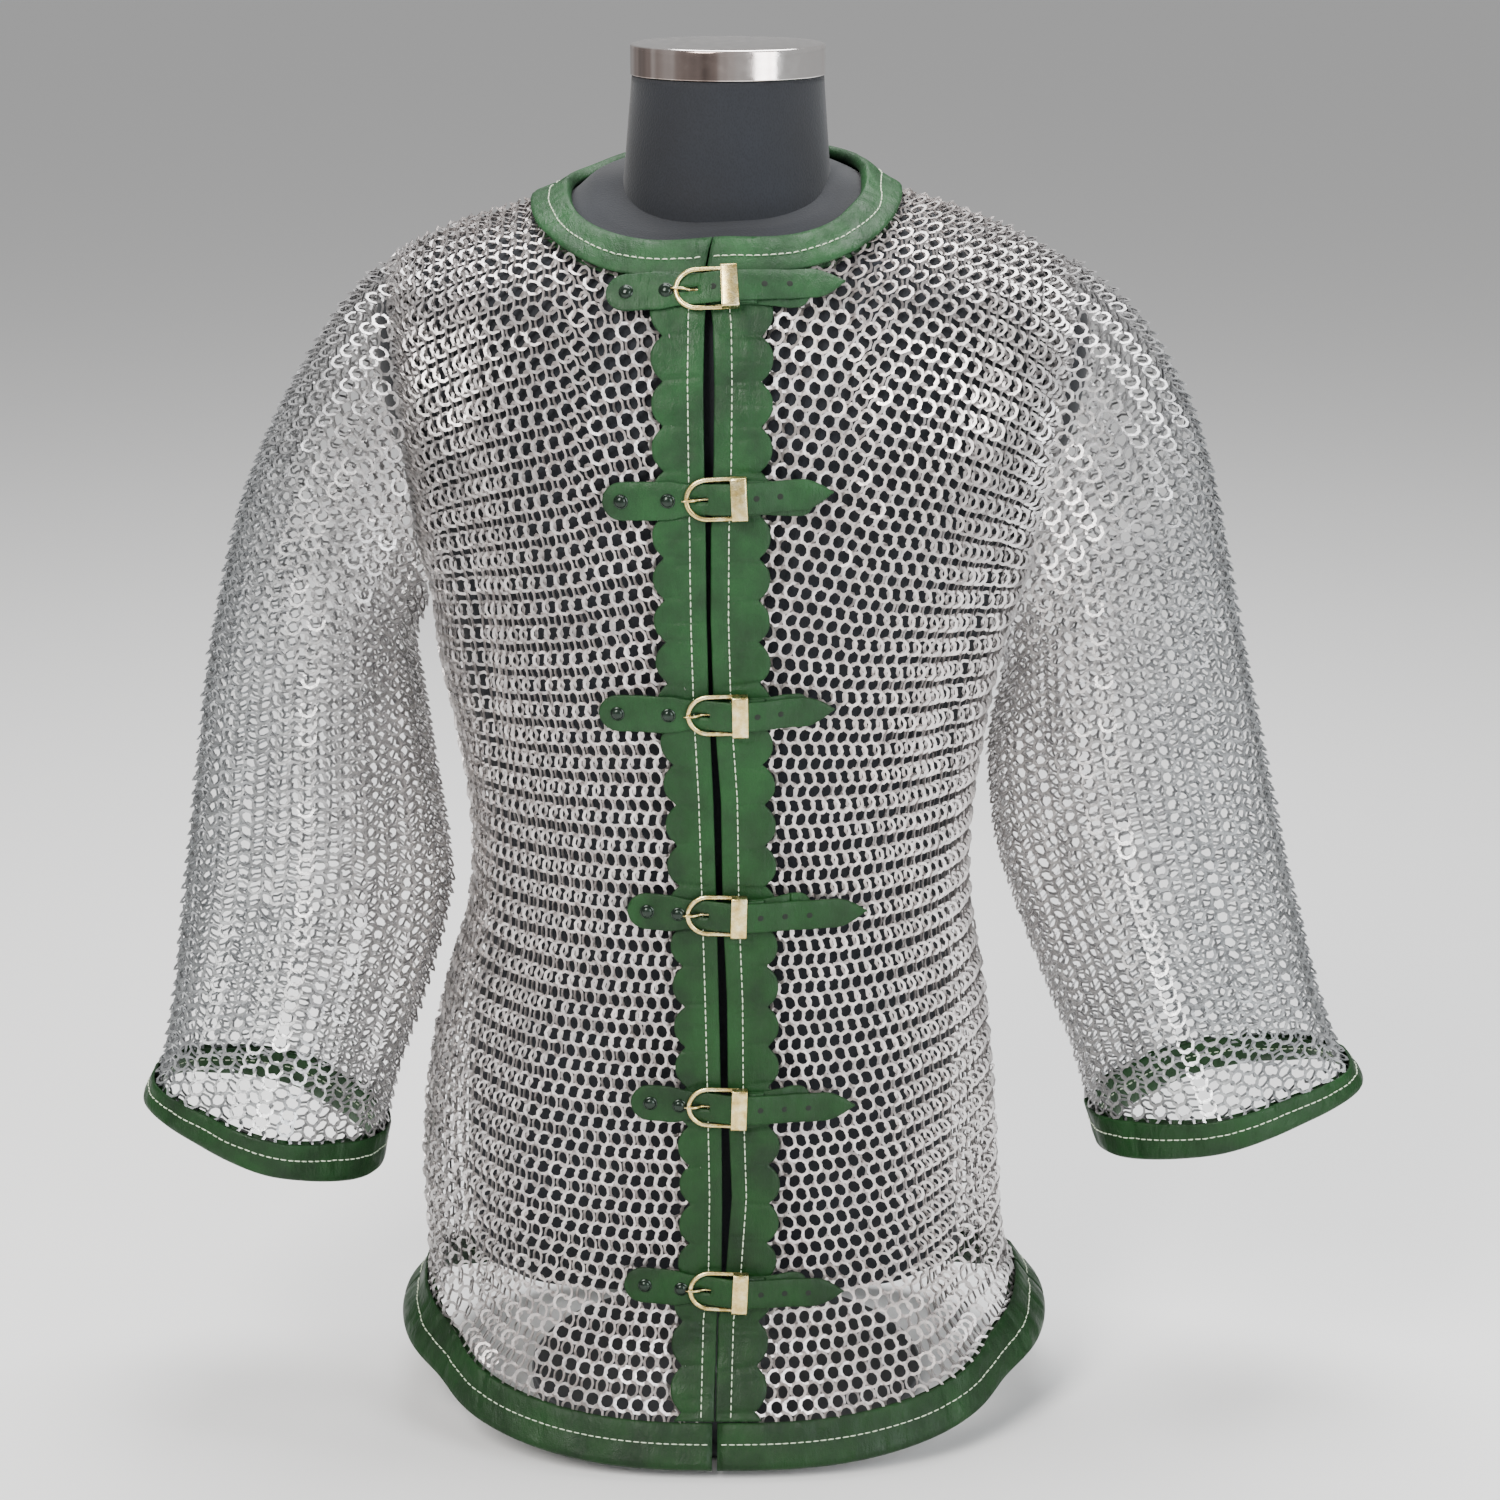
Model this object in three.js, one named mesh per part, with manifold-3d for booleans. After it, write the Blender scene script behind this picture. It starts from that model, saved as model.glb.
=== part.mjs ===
// Short-fronted chainmail hauberk with leather trim and six buckled straps, on a limbless dress form.
// Millimetres, +Z up. The front faces -Y. "Right" and "left" are the wearer's, so right is at -X.
// The origin is the middle of the face under the stand.

import * as THREE from 'three';
import { mergeVertices } from 'three/addons/utils/BufferGeometryUtils.js';
import Module from 'manifold-3d';

const wasm = await Module();
wasm.setup();

// Thicknesses, and clearances: between pieces, under the form's edge, and in a leather slot
const MAIL = 4;
const LEATHER = 2;
const BINDING = 1.5;
const GAP = 0.3;
const SEAT = 0.6;
const SLOT = 0.6;

// The height of the hem's band, and how far the mail stops inside a leather edge
const HEM_BAND = 26;
const MAIL_INSET = 4;

// The stand and the dress form
const STAND_RADIUS = 140;
const STAND_PLATE = 10;
const POST_RADIUS = 28;
const FORM_BOTTOM = 105;
const NECK_TOP = 923;
const CAP_RADIUS = 64;
const CAP_HEIGHT = 20;

// How finely the lofts are divided
const TORSO_COLUMNS = 32;
const SLEEVE_COLUMNS = 18;
const NECK_COLUMNS = 32;

// The torso's outer surface, a level section for each row: the two side edges, the y of the line
// through them, the front and back edges, and how square the section is.
const TORSO = [
  { z: -24, right: -256, left: 252, mid: 0, front: -188, back: 186, square: 2.4 },
  { z: 10, right: -246, left: 242, mid: 0, front: -173, back: 171, square: 2.4 },
  { z: 40, right: -236, left: 232, mid: 0, front: -158, back: 156, square: 2.4 },
  { z: 60, right: -228, left: 225, mid: 0, front: -148, back: 147, square: 2.4 },
  { z: 76, right: -216, left: 212, mid: 0, front: -140, back: 141, square: 2.4 },
  { z: 92, right: -211, left: 202, mid: 0, front: -134, back: 138, square: 2.4 },
  { z: 112, right: -211, left: 196, mid: 0, front: -130, back: 136, square: 2.4 },
  { z: 170, right: -213, left: 191.5, mid: 0, front: -128, back: 135, square: 2.4 },
  { z: 235, right: -208, left: 187, mid: 0, front: -128, back: 131, square: 2.4 },
  { z: 300, right: -195, left: 180, mid: 0, front: -127, back: 120, square: 2.4 },
  { z: 360, right: -177.5, left: 170, mid: 0, front: -125, back: 111, square: 2.4 },
  { z: 420, right: -174.5, left: 169, mid: 0, front: -126, back: 108, square: 2.4 },
  { z: 480, right: -182, left: 176.5, mid: 0, front: -129, back: 112, square: 2.4 },
  { z: 535, right: -193, left: 187, mid: 0, front: -134, back: 120, square: 2.4 },
  { z: 590, right: -200, left: 204, mid: 0, front: -139, back: 128, square: 2.4 },
  { z: 645, right: -219, left: 227, mid: 0, front: -142, back: 133, square: 2.3 },
  { z: 700, right: -234, left: 245, mid: 0, front: -140, back: 134, square: 2.25 },
  { z: 750, right: -240, left: 251, mid: 2, front: -133, back: 129, square: 2.1 },
  { z: 788, right: -234, left: 240, mid: 3, front: -122, back: 120, square: 1.85 },
  { z: 808, right: -215, left: 217, mid: 5, front: -112, back: 114, square: 1.65 },
  { z: 824, right: -185, left: 187, mid: 6, front: -100, back: 110, square: 1.55 },
  { z: 838, right: -140, left: 151, mid: 9, front: -81, back: 104, square: 1.6 },
  { z: 850, right: -108, left: 113, mid: 12, front: -66, back: 98, square: 1.7 },
  { z: 866, right: -86, left: 88, mid: 20, front: -47, back: 87, square: 1.9 },
  { z: 880, right: -50, left: 50, mid: 26, front: -22, back: 70, square: 2 },
];

// The sleeves' outer surface, a section for each row from the root inside the shoulder to the cuff:
// its outer and inner points seen from the front, its half depth and the y of its middle.
const RIGHT_SLEEVE = [
  { outX: -120, outZ: 836, inX: -118, inZ: 665, depth: 74, mid: 4 },
  { outX: -217, outZ: 804, inX: -180, inZ: 592, depth: 86, mid: 2 },
  { outX: -251, outZ: 778, inX: -198, inZ: 574, depth: 86, mid: 0 },
  { outX: -283, outZ: 732, inX: -206, inZ: 558, depth: 84, mid: 0 },
  { outX: -308, outZ: 685, inX: -210, inZ: 543, depth: 82, mid: -1 },
  { outX: -326, outZ: 640, inX: -208, inZ: 524, depth: 80, mid: -2 },
  { outX: -339, outZ: 590, inX: -204, inZ: 500, depth: 79, mid: -3 },
  { outX: -351, outZ: 530, inX: -200, inZ: 468, depth: 80, mid: -4 },
  { outX: -368, outZ: 410, inX: -190, inZ: 396, depth: 83, mid: -5 },
  { outX: -376, outZ: 350, inX: -191, inZ: 358, depth: 84, mid: -5 },
  { outX: -383, outZ: 300, inX: -207, inZ: 300, depth: 84, mid: -5 },
  { outX: -391, outZ: 257, inX: -230, inZ: 232, depth: 84, mid: -4 },
  { outX: -398, outZ: 236, inX: -239, inZ: 194, depth: 84, mid: -4 },
  { outX: -405, outZ: 222, inX: -244, inZ: 168, depth: 85, mid: -4 },
];
const LEFT_SLEEVE = [
  { outX: 120, outZ: 838, inX: 116, inZ: 650, depth: 74, mid: 4 },
  { outX: 219, outZ: 808, inX: 176, inZ: 560, depth: 86, mid: 2 },
  { outX: 250, outZ: 790, inX: 188, inZ: 532, depth: 86, mid: 0 },
  { outX: 282, outZ: 760, inX: 189, inZ: 514, depth: 84, mid: 0 },
  { outX: 308, outZ: 718, inX: 187, inZ: 504, depth: 83, mid: -1 },
  { outX: 325, outZ: 672, inX: 184, inZ: 496, depth: 82, mid: -2 },
  { outX: 337, outZ: 618, inX: 182, inZ: 484, depth: 81, mid: -3 },
  { outX: 351, outZ: 550, inX: 180, inZ: 466, depth: 81, mid: -4 },
  { outX: 381, outZ: 414, inX: 186, inZ: 405, depth: 81, mid: -5 },
  { outX: 395, outZ: 360, inX: 199, inZ: 362, depth: 80, mid: -5 },
  { outX: 409, outZ: 308, inX: 218, inZ: 312, depth: 79, mid: -4 },
  { outX: 424, outZ: 264, inX: 243, inZ: 250, depth: 78, mid: -3 },
  { outX: 435, outZ: 244, inX: 255, inZ: 208, depth: 78, mid: -2 },
  { outX: 444, outZ: 232, inX: 263, inZ: 182, depth: 78, mid: -2 },
];

// Soft folds, each a ridge or a hollow along the cloth: the angle that it runs at, in turns from the
// outer or left side towards the back, its half width in turns, its height, and the stretch that it
// keeps to, as heights on the torso and as sections on a sleeve.
const TORSO_FOLDS = [
  { turn: 0.60, width: 0.022, height: -5, from: 470, to: 640 },
  { turn: 0.90, width: 0.022, height: -5, from: 450, to: 640 },
  { turn: 0.40, width: 0.024, height: -5, from: 460, to: 640 },
  { turn: 0.10, width: 0.024, height: -5, from: 450, to: 640 },
  { turn: 0.655, width: 0.026, height: 3, from: 60, to: 330 },
  { turn: 0.595, width: 0.024, height: -4, from: -20, to: 220 },
  { turn: 0.845, width: 0.026, height: 3, from: 40, to: 300 },
  { turn: 0.905, width: 0.024, height: -4, from: -20, to: 200 },
  { turn: 0.16, width: 0.03, height: 4, from: -20, to: 300 },
  { turn: 0.245, width: 0.03, height: -4, from: -20, to: 320 },
  { turn: 0.34, width: 0.03, height: 4, from: -20, to: 280 },
];
const SLEEVE_FOLDS = [
  { turn: 0.93, width: 0.04, height: 4, from: 5, to: 14 },
  { turn: 0.83, width: 0.035, height: -5, from: 6, to: 13 },
  { turn: 0.73, width: 0.04, height: 4, from: 5, to: 15 },
  { turn: 0.63, width: 0.035, height: -5, from: 4, to: 12 },
  { turn: 0.38, width: 0.04, height: -5, from: 4, to: 12 },
  { turn: 0.27, width: 0.04, height: 4, from: 5, to: 15 },
  { turn: 0.15, width: 0.035, height: -4, from: 7, to: 14 },
];

// The hem's height above the floor
const HEM = { front: 10, side: 60, back: 22, bend: 2.4 };

// How much smaller the form is than the mail, by height
const FORM_EASE = [
  { z: 100, ease: 32 },
  { z: 200, ease: 30 },
  { z: 300, ease: 22 },
  { z: 400, ease: 14 },
  { z: 500, ease: 14 },
  { z: 620, ease: 12 },
  { z: 700, ease: 9 },
  { z: 760, ease: 6.9 },
  { z: 800, ease: MAIL + SLOT + BINDING + SEAT },
  { z: 900, ease: MAIL + SLOT + BINDING + SEAT },
];
const NECK = [
  { z: 800, radius: 71, x: 1, y: 4 },
  { z: 842, radius: 70, x: 1.8, y: 2.5 },
  { z: 860, radius: 68, x: 2, y: 2 },
  { z: 885, radius: 66, x: 2.2, y: 1 },
  { z: NECK_TOP - GAP, radius: 63, x: 2.6, y: 0 },
];

// The front opening between the two leather bands
const OPENING = [
  { z: -30, x: -8.7, width: 1 },
  { z: 100, x: -5, width: 1 },
  { z: 128, x: -1, width: 2.5 },
  { z: 187, x: 1.5, width: 6.5 },
  { z: 254, x: 0, width: 4.5 },
  { z: 327, x: -1, width: 5.5 },
  { z: 388, x: -3, width: 4 },
  { z: 466, x: -4.5, width: 5 },
  { z: 528, x: -8, width: 3 },
  { z: 590, x: -9.5, width: 2.6 },
  { z: 648, x: -9.5, width: 3.4 },
  { z: 690, x: -9, width: 6 },
  { z: 740, x: -9, width: 7 },
  { z: 776, x: -9, width: 5.5 },
  { z: 796, x: -9.6, width: 1.4 },
  { z: 900, x: -10.5, width: 1.2 },
];

// The two scalloped bands along the opening: their full widths at the bottom and at the top
const SCALLOP = { pitch: 28, depth: 7.5, cuts: [0, 0.22, 0.78] };
const BAND_WIDTH = {
  right: { bottom: 30, top: 37 },
  left: { bottom: 34, top: 41 },
};

// The neck opening in plan, at the leather's edge
const NECKLINE = { x: -5, halfWidth: 99, front: -97, back: 82, square: 2.4 };
const COLLAR_GROW = { side: 23, front: 15 };

// The seams between the body and the sleeves, seen from the front
const RIGHT_SEAM = [
  { x: -232, z: 900 }, { x: -224, z: 790 }, { x: -204, z: 590 }, { x: -200.5, z: 545 },
  { x: -193, z: 500 }, { x: -187, z: 460 }, { x: -182, z: 415 }, { x: -183, z: 375 },
  { x: -195, z: 330 }, { x: -204, z: 285 }, { x: -220, z: 220 }, { x: -224, z: 120 },
];
const LEFT_SEAM = [
  { x: 236, z: 900 }, { x: 230, z: 790 }, { x: 204, z: 590 }, { x: 186, z: 505 },
  { x: 178.4, z: 472 }, { x: 176, z: 440 }, { x: 177, z: 405 }, { x: 185, z: 360 },
  { x: 197, z: 312 }, { x: 215, z: 250 }, { x: 228, z: 180 }, { x: 228, z: 120 },
];
const SIDE_SEAM_Y = 3;

// The straps, from the top: the buckle's middle, the slope, how far the set is raised, how far the
// right strap's tab and tip and the left strap's end reach from the middle, how far the left strap
// turns up, and where the two rivets are
const STRAPS = [
  {
    z: 797, x: -8, slope: 0.042, raise: 0.3,
    tab: -66, tip: 85, chape: 62, chapeRise: -4, outer: -53, inner: -27.5,
  },
  {
    z: 669, x: -2, slope: 0.046, raise: -0.7,
    tab: -75, tip: 72, chape: 60, chapeRise: -3, outer: -63, inner: -33,
  },
  {
    z: 526, x: -1.5, slope: 0.017, raise: 0,
    tab: -79, tip: 73, chape: 58, chapeRise: 1, outer: -67, inner: -34,
  },
  {
    z: 387, x: -2.5, slope: -0.023, raise: 0.2,
    tab: -61, tip: 96, chape: 60, chapeRise: 4, outer: -48, inner: -27.5,
  },
  {
    z: 253, x: -2.5, slope: -0.035, raise: -0.2,
    tab: -60, tip: 89, chape: 60, chapeRise: 4, outer: -47, inner: -27.5,
  },
  {
    z: 121, x: -2, slope: -0.05, raise: 0.5,
    tab: -66, tip: 82, chape: 58, chapeRise: 3, outer: -52, inner: -27.5,
  },
];
const STRAP = { tabHalf: 12.5, half: 10, thick: 1.8, chapeHalf: 11, chapeThick: 1.6 };
const BUCKLE = { reach: 20, half: 14, wire: 1.2, plate: 10, plateThick: 1, prong: 0.8 };
const RIVET = { radius: 4.5, height: 2.6 };

// Where things lie along a strap, from its buckle's middle
const BAR = 12;
const SLOT_HOLE = { from: 7, to: 13.5, half: 1.8 };
const PRONG_HOLE = { from: -19.6, to: -7.4, half: 1.5 };
const KEEPER_END = 28;
const TIP_LENGTH = 20;
const STEP = 7;

// How high things stand off the mail's outer surface
const BAND_TOP = SLOT + LEATHER;
const STRAP_BASE = BAND_TOP + 0.35;
const WIRE_LEVEL = STRAP_BASE + STRAP.thick + GAP + BUCKLE.wire;
const FOLD_BASE = WIRE_LEVEL + BUCKLE.wire + GAP;
const OVER_FOLD = FOLD_BASE + STRAP.chapeThick + GAP;
const PLATE_BASE = OVER_FOLD + STRAP.thick + GAP;
const ON_MAIL = 0.9;
const BELOW_HOLES = 2.4;
const ABOVE_HOLES = 9.6;
const PLATE_LEGS = WIRE_LEVEL - 0.8;

const COLOURS = {
  mail: { color: 0xb9babd, metalness: 0.9, roughness: 0.38 },
  leather: { color: 0x2c6a3a, metalness: 0, roughness: 0.55 },
  brass: { color: 0xc9b26e, metalness: 1, roughness: 0.3 },
  rivet: { color: 0x16241b, metalness: 0.6, roughness: 0.3 },
  form: { color: 0x2b3038, metalness: 0, roughness: 0.85 },
  chrome: { color: 0xd8cfc8, metalness: 1, roughness: 0.12 },
  stand: { color: 0x3a3d42, metalness: 0.3, roughness: 0.6 },
};

// Small sums

const TURN = 2 * Math.PI;
const vec = (x, y, z) => new THREE.Vector3(x, y, z);
const lerp = THREE.MathUtils.lerp;

function signedPower(value, power) {
  return Math.sign(value) * Math.abs(value) ** power;
}

// A smooth curve through one column of a table, by the table's own key
function readColumn(table, key, name, at) {
  const last = table.length - 1;
  if (at <= table[0][key]) return table[0][name];
  if (at >= table[last][key]) return table[last][name];
  let i = 0;
  while (at > table[i + 1][key]) i += 1;
  const slopeAt = (k) => {
    const a = table[Math.max(k - 1, 0)];
    const b = table[Math.min(k + 1, last)];
    return (b[name] - a[name]) / (b[key] - a[key]);
  };
  const span = table[i + 1][key] - table[i][key];
  const u = (at - table[i][key]) / span;
  const u2 = u * u;
  const u3 = u2 * u;
  return (
    (2 * u3 - 3 * u2 + 1) * table[i][name] +
    (u3 - 2 * u2 + u) * span * slopeAt(i) +
    (3 * u2 - 2 * u3) * table[i + 1][name] +
    (u3 - u2) * span * slopeAt(i + 1)
  );
}

// A fold's height at a place across it and along it
function foldHeight(folds, turn, along, fade) {
  let sum = 0;
  for (const fold of folds) {
    let away = Math.abs(turn - fold.turn);
    away = Math.min(away, 1 - away);
    const across = Math.exp(-((away / fold.width) ** 2));
    const start = THREE.MathUtils.smoothstep(along, fold.from - fade, fold.from + fade);
    const end = 1 - THREE.MathUtils.smoothstep(along, fold.to - fade, fold.to + fade);
    sum += fold.height * across * start * end;
  }
  return sum;
}

// Surfaces

function torsoSection(z) {
  const read = (name) => readColumn(TORSO, 'z', name, z);
  return {
    x: (read('right') + read('left')) / 2,
    half: (read('left') - read('right')) / 2,
    mid: read('mid'),
    front: read('front'),
    back: read('back'),
    square: read('square'),
  };
}

function torsoPoint(angle, z) {
  const s = torsoSection(z);
  const power = 2 / s.square;
  const across = signedPower(Math.cos(angle), power);
  const deep = Math.abs(Math.sin(angle)) ** power;
  const edge = Math.sin(angle) < 0 ? s.front : s.back;
  const fold = foldHeight(TORSO_FOLDS, (angle / TURN + 1) % 1, z, 60);
  const grow = 1 + fold / 170;
  return vec(s.x + s.half * across * grow, s.mid + (edge - s.mid) * deep * grow, z);
}

// The angle of the front point with a given x
function frontAngle(x, z) {
  const s = torsoSection(z);
  const across = THREE.MathUtils.clamp((x - s.x) / s.half, -1, 1);
  return -Math.acos(signedPower(across, s.square / 2));
}

function normalOf(pointAt, a, b, stepA, stepB) {
  const alongA = pointAt(a + stepA, b).sub(pointAt(a - stepA, b));
  const alongB = pointAt(a, b + stepB).sub(pointAt(a, b - stepB));
  return alongA.cross(alongB).normalize();
}

function torsoNormal(angle, z) {
  return normalOf(torsoPoint, angle, z, 0.02, 2);
}

// A place over the front of the torso, lifted off its surface
function onFront(x, z, lift) {
  const angle = frontAngle(x, z);
  return torsoPoint(angle, z).addScaledVector(torsoNormal(angle, z), lift);
}

function hemHeight(angle) {
  const rise = Math.abs(Math.cos(angle)) ** HEM.bend;
  return lerp(Math.sin(angle) < 0 ? HEM.front : HEM.back, HEM.side, rise);
}

// The height at which the torso's surface crosses the neck opening, grown outwards
function necklineHeight(angle, sideGrow, frontGrow) {
  let low = 770;
  let high = 887;
  for (let i = 0; i < 30; i += 1) {
    const z = (low + high) / 2;
    const p = torsoPoint(angle, z);
    const ahead = p.y < 0;
    const square = ahead ? NECKLINE.square : 2;
    const deep = ahead ? -NECKLINE.front + frontGrow : NECKLINE.back + sideGrow;
    const across = Math.abs(p.x - NECKLINE.x) / (NECKLINE.halfWidth + sideGrow);
    if (across ** square + (Math.abs(p.y) / deep) ** square > 1) low = z;
    else high = z;
  }
  return low;
}

function sleeveReader(table) {
  const rows = table.map((row, i) => ({ ...row, i }));
  return (name, at) => readColumn(rows, 'i', name, at);
}

function sleeveSurface(table) {
  const read = sleeveReader(table);
  const last = table.length - 1;
  return (angle, at) => {
    const inside = Math.min(at, last);
    const outer = vec(read('outX', inside), read('mid', inside), read('outZ', inside));
    const inner = vec(read('inX', inside), read('mid', inside), read('inZ', inside));
    if (at > last) {
      const stepDown = vec(read('outX', last) - read('outX', last - 1), 0, -12);
      outer.addScaledVector(stepDown, at - last);
      inner.addScaledVector(stepDown, at - last);
    }
    const fold = foldHeight(SLEEVE_FOLDS, (angle / TURN + 1) % 1, inside, 2);
    const grow = 1 + fold / 85;
    const middle = outer.clone().add(inner).multiplyScalar(0.5);
    const arm = outer.clone().sub(inner).multiplyScalar(0.5 * Math.cos(angle) * grow);
    return middle.add(arm).add(vec(0, read('depth', inside) * Math.sin(angle) * grow, 0));
  };
}

// Solids

// A closed body through sections of equal count. Its ends are fans, or it joins up with itself.
// Each four-sided facet is split from a point to the next section's next point, or the other way
// where the list of leans says so.
function loft(sections, joined = false, leans = []) {
  const count = sections[0].length;
  const points = sections.flat();
  const faces = [];
  const rows = joined ? sections.length : sections.length - 1;
  for (let r = 0; r < rows; r += 1) {
    const below = r * count;
    const above = ((r + 1) % sections.length) * count;
    for (let c = 0; c < count; c += 1) {
      const d = (c + 1) % count;
      if (leans[c]) faces.push(below + c, below + d, above + c, below + d, above + d, above + c);
      else faces.push(below + c, below + d, above + d, below + c, above + d, above + c);
    }
  }
  if (!joined) {
    for (const [start, flip] of [[0, true], [(sections.length - 1) * count, false]]) {
      const hub = vec(0, 0, 0);
      for (let c = 0; c < count; c += 1) hub.addScaledVector(points[start + c], 1 / count);
      points.push(hub);
      for (let c = 0; c < count; c += 1) {
        const d = (c + 1) % count;
        const rim = flip ? [start + d, start + c] : [start + c, start + d];
        faces.push(rim[0], rim[1], points.length - 1);
      }
    }
  }
  return bodyFrom(points, faces);
}

function bodyFrom(points, faces) {
  const geometry = new THREE.BufferGeometry();
  geometry.setAttribute('position', new THREE.Float32BufferAttribute(points.flatMap((p) => p.toArray()), 3));
  geometry.setIndex(faces);
  return solid(geometry);
}

// A three.js geometry as a solid that can be cut and joined
function solid(geometry) {
  const bare = geometry.index ? geometry.clone() : geometry;
  bare.deleteAttribute('normal');
  bare.deleteAttribute('uv');
  const merged = mergeVertices(bare, 1e-4);
  const vertProperties = Float32Array.from(merged.attributes.position.array);
  const triVerts = Uint32Array.from(merged.index.array);
  const body = new wasm.Manifold(new wasm.Mesh({ numProp: 3, vertProperties, triVerts }));
  return body.volume() < 0 ? turned(vertProperties, triVerts) : body;
}

function turned(vertProperties, triVerts) {
  for (let i = 0; i < triVerts.length; i += 3) {
    [triVerts[i], triVerts[i + 1]] = [triVerts[i + 1], triVerts[i]];
  }
  return new wasm.Manifold(new wasm.Mesh({ numProp: 3, vertProperties, triVerts }));
}

// A body with an outline drawn on one plane: 'xz' runs through the depth, 'xy' runs upwards
function prism(outline, from, to, plane) {
  const shape = new THREE.Shape(outline.map((p) => new THREE.Vector2(p[0], p[1])));
  const geometry = new THREE.ExtrudeGeometry(shape, { depth: to - from, bevelEnabled: false });
  if (plane === 'xz') {
    geometry.rotateX(Math.PI / 2);
    geometry.translate(0, to, 0);
  } else {
    geometry.translate(0, 0, from);
  }
  return solid(geometry);
}

function largest(body) {
  const pieces = body.decompose();
  pieces.sort((a, b) => b.volume() - a.volume());
  return pieces[0];
}

const group = new THREE.Group();

function addPiece(name, body, colours) {
  const mesh = largest(body).getMesh();
  const geometry = new THREE.BufferGeometry();
  geometry.setAttribute('position', new THREE.BufferAttribute(Float32Array.from(mesh.vertProperties), 3));
  geometry.setIndex(Array.from(mesh.triVerts));
  const piece = new THREE.Mesh(geometry, new THREE.MeshStandardMaterial(colours));
  piece.name = name;
  group.add(piece);
}

// The torso and the sleeves as filled forms, moved out by an offset

function columnAngles(count) {
  return Array.from({ length: count }, (_, c) => ((c + 0.5) / count) * TURN);
}

function torsoRing(offset, count, heightAt) {
  return columnAngles(count).map((angle) => {
    const z = heightAt(angle);
    return torsoPoint(angle, z).addScaledVector(torsoNormal(angle, z), offset);
  });
}

// The level rows of the lofts lie between the skirt and the shoulders
const LEVELS = TORSO.map((row) => row.z).filter((z) => z >= 112 && z <= 788);
const SHOULDER_BLENDS = [0.28, 0.52, 0.76];
const OVERRUN = 16;

const hemTop = (angle) => hemHeight(angle) + HEM_BAND;
const collarEdge = (angle) => necklineHeight(angle, 0, 0);
const collarFoot = (angle) => necklineHeight(angle, COLLAR_GROW.side, COLLAR_GROW.front);

// Heights of the torso's rows: the lowest follow the hem and the highest follow the neckline
const torsoRows = [
  hemHeight,
  hemTop,
  (angle) => (hemTop(angle) + LEVELS[0]) / 2,
  ...LEVELS.map((z) => () => z),
  ...SHOULDER_BLENDS.map((share) => (angle) => lerp(LEVELS.at(-1), collarFoot(angle), share)),
  collarFoot,
  collarEdge,
];

// Filled, with its ends set in square to the cloth
function torsoFilled(offset) {
  const rings = torsoRows.map((heightAt) => torsoRing(offset, TORSO_COLUMNS, heightAt));
  rings.unshift(torsoRing(offset - MAIL, TORSO_COLUMNS, hemHeight));
  rings.push(torsoRing(offset - MAIL, TORSO_COLUMNS, collarEdge));
  return loft(rings);
}

// Filled, and run on past the hem and into the neck
function torsoHollow(offset) {
  const rings = torsoRows.map((heightAt) => torsoRing(offset, TORSO_COLUMNS, heightAt));
  rings.unshift(torsoRing(offset, TORSO_COLUMNS, (angle) => hemHeight(angle) - OVERRUN));
  rings.push(torsoRing(offset, TORSO_COLUMNS, (angle) => necklineHeight(angle, -OVERRUN, -OVERRUN)));
  return loft(rings);
}

function sleeveRing(table, offset, at) {
  const surface = sleeveSurface(table);
  const outward = -Math.sign(table[0].outX);
  const nearby = THREE.MathUtils.clamp(at, 0.1, table.length - 1.1);
  return columnAngles(SLEEVE_COLUMNS).map((angle) =>
    surface(angle, at).addScaledVector(normalOf(surface, angle, nearby, 0.05, 0.1), offset * outward));
}

function sleeveRings(table, offset, last) {
  return Array.from({ length: last + 1 }, (_, at) => sleeveRing(table, offset, at));
}

function sleeveFilled(table) {
  const last = table.length - 1;
  return loft([...sleeveRings(table, 0, last), sleeveRing(table, -MAIL, last)]);
}

function sleeveHollow(table) {
  return loft(sleeveRings(table, -MAIL, table.length));
}

// Outlines

const FAR = 700;

function openingEdge(side, inset) {
  return OPENING.map((row) => [row.x + side * (row.width / 2 + inset), row.z]);
}

// Everything on one side of the opening, right being -1 and left 1
function besideOpening(side, inset) {
  const edge = openingEdge(side, inset);
  const outline = [...edge, [side * FAR, edge.at(-1)[1]], [side * FAR, edge[0][1]]];
  return prism(outline, -FAR, FAR, 'xz');
}

function beyondSeam(seam, shift) {
  const side = Math.sign(seam[0].x);
  const edge = seam.map((p) => [p.x - side * shift, p.z]);
  const outline = [...edge, [side * FAR, seam.at(-1).z], [side * FAR, seam[0].z]];
  return prism(outline, -FAR, FAR, 'xz');
}

function halfSpace(side, shift) {
  const edge = SIDE_SEAM_Y + side * shift;
  const outline = [[-FAR, edge], [FAR, edge], [FAR, side * FAR], [-FAR, side * FAR]];
  return prism(outline, -FAR, FAR * 2, 'xy');
}

function scallopOutline(side, widths) {
  const inner = openingEdge(side, 0).filter((p) => p[1] > 0 && p[1] < 850);
  const outer = [];
  for (let start = SCALLOP.pitch / 2; start < 835; start += SCALLOP.pitch) {
    for (const cut of SCALLOP.cuts) {
      const z = start + cut * SCALLOP.pitch;
      const full = lerp(widths.bottom, widths.top, z / 800);
      const x = readColumn(OPENING, 'z', 'x', z) + side * (full - (cut === 0 ? SCALLOP.depth : 0.6));
      outer.push([x, z]);
    }
  }
  return [...inner, ...outer.reverse()];
}

// The mail

const lastRow = RIGHT_SLEEVE.length - 1;
const CUFF_ROW = lastRow - 1;

const mailForm = torsoFilled(0).add(sleeveFilled(RIGHT_SLEEVE)).add(sleeveFilled(LEFT_SLEEVE));
const mailHollow = torsoHollow(-MAIL).add(sleeveHollow(RIGHT_SLEEVE)).add(sleeveHollow(LEFT_SLEEVE));
const mail = mailForm.subtract(mailHollow);

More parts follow.
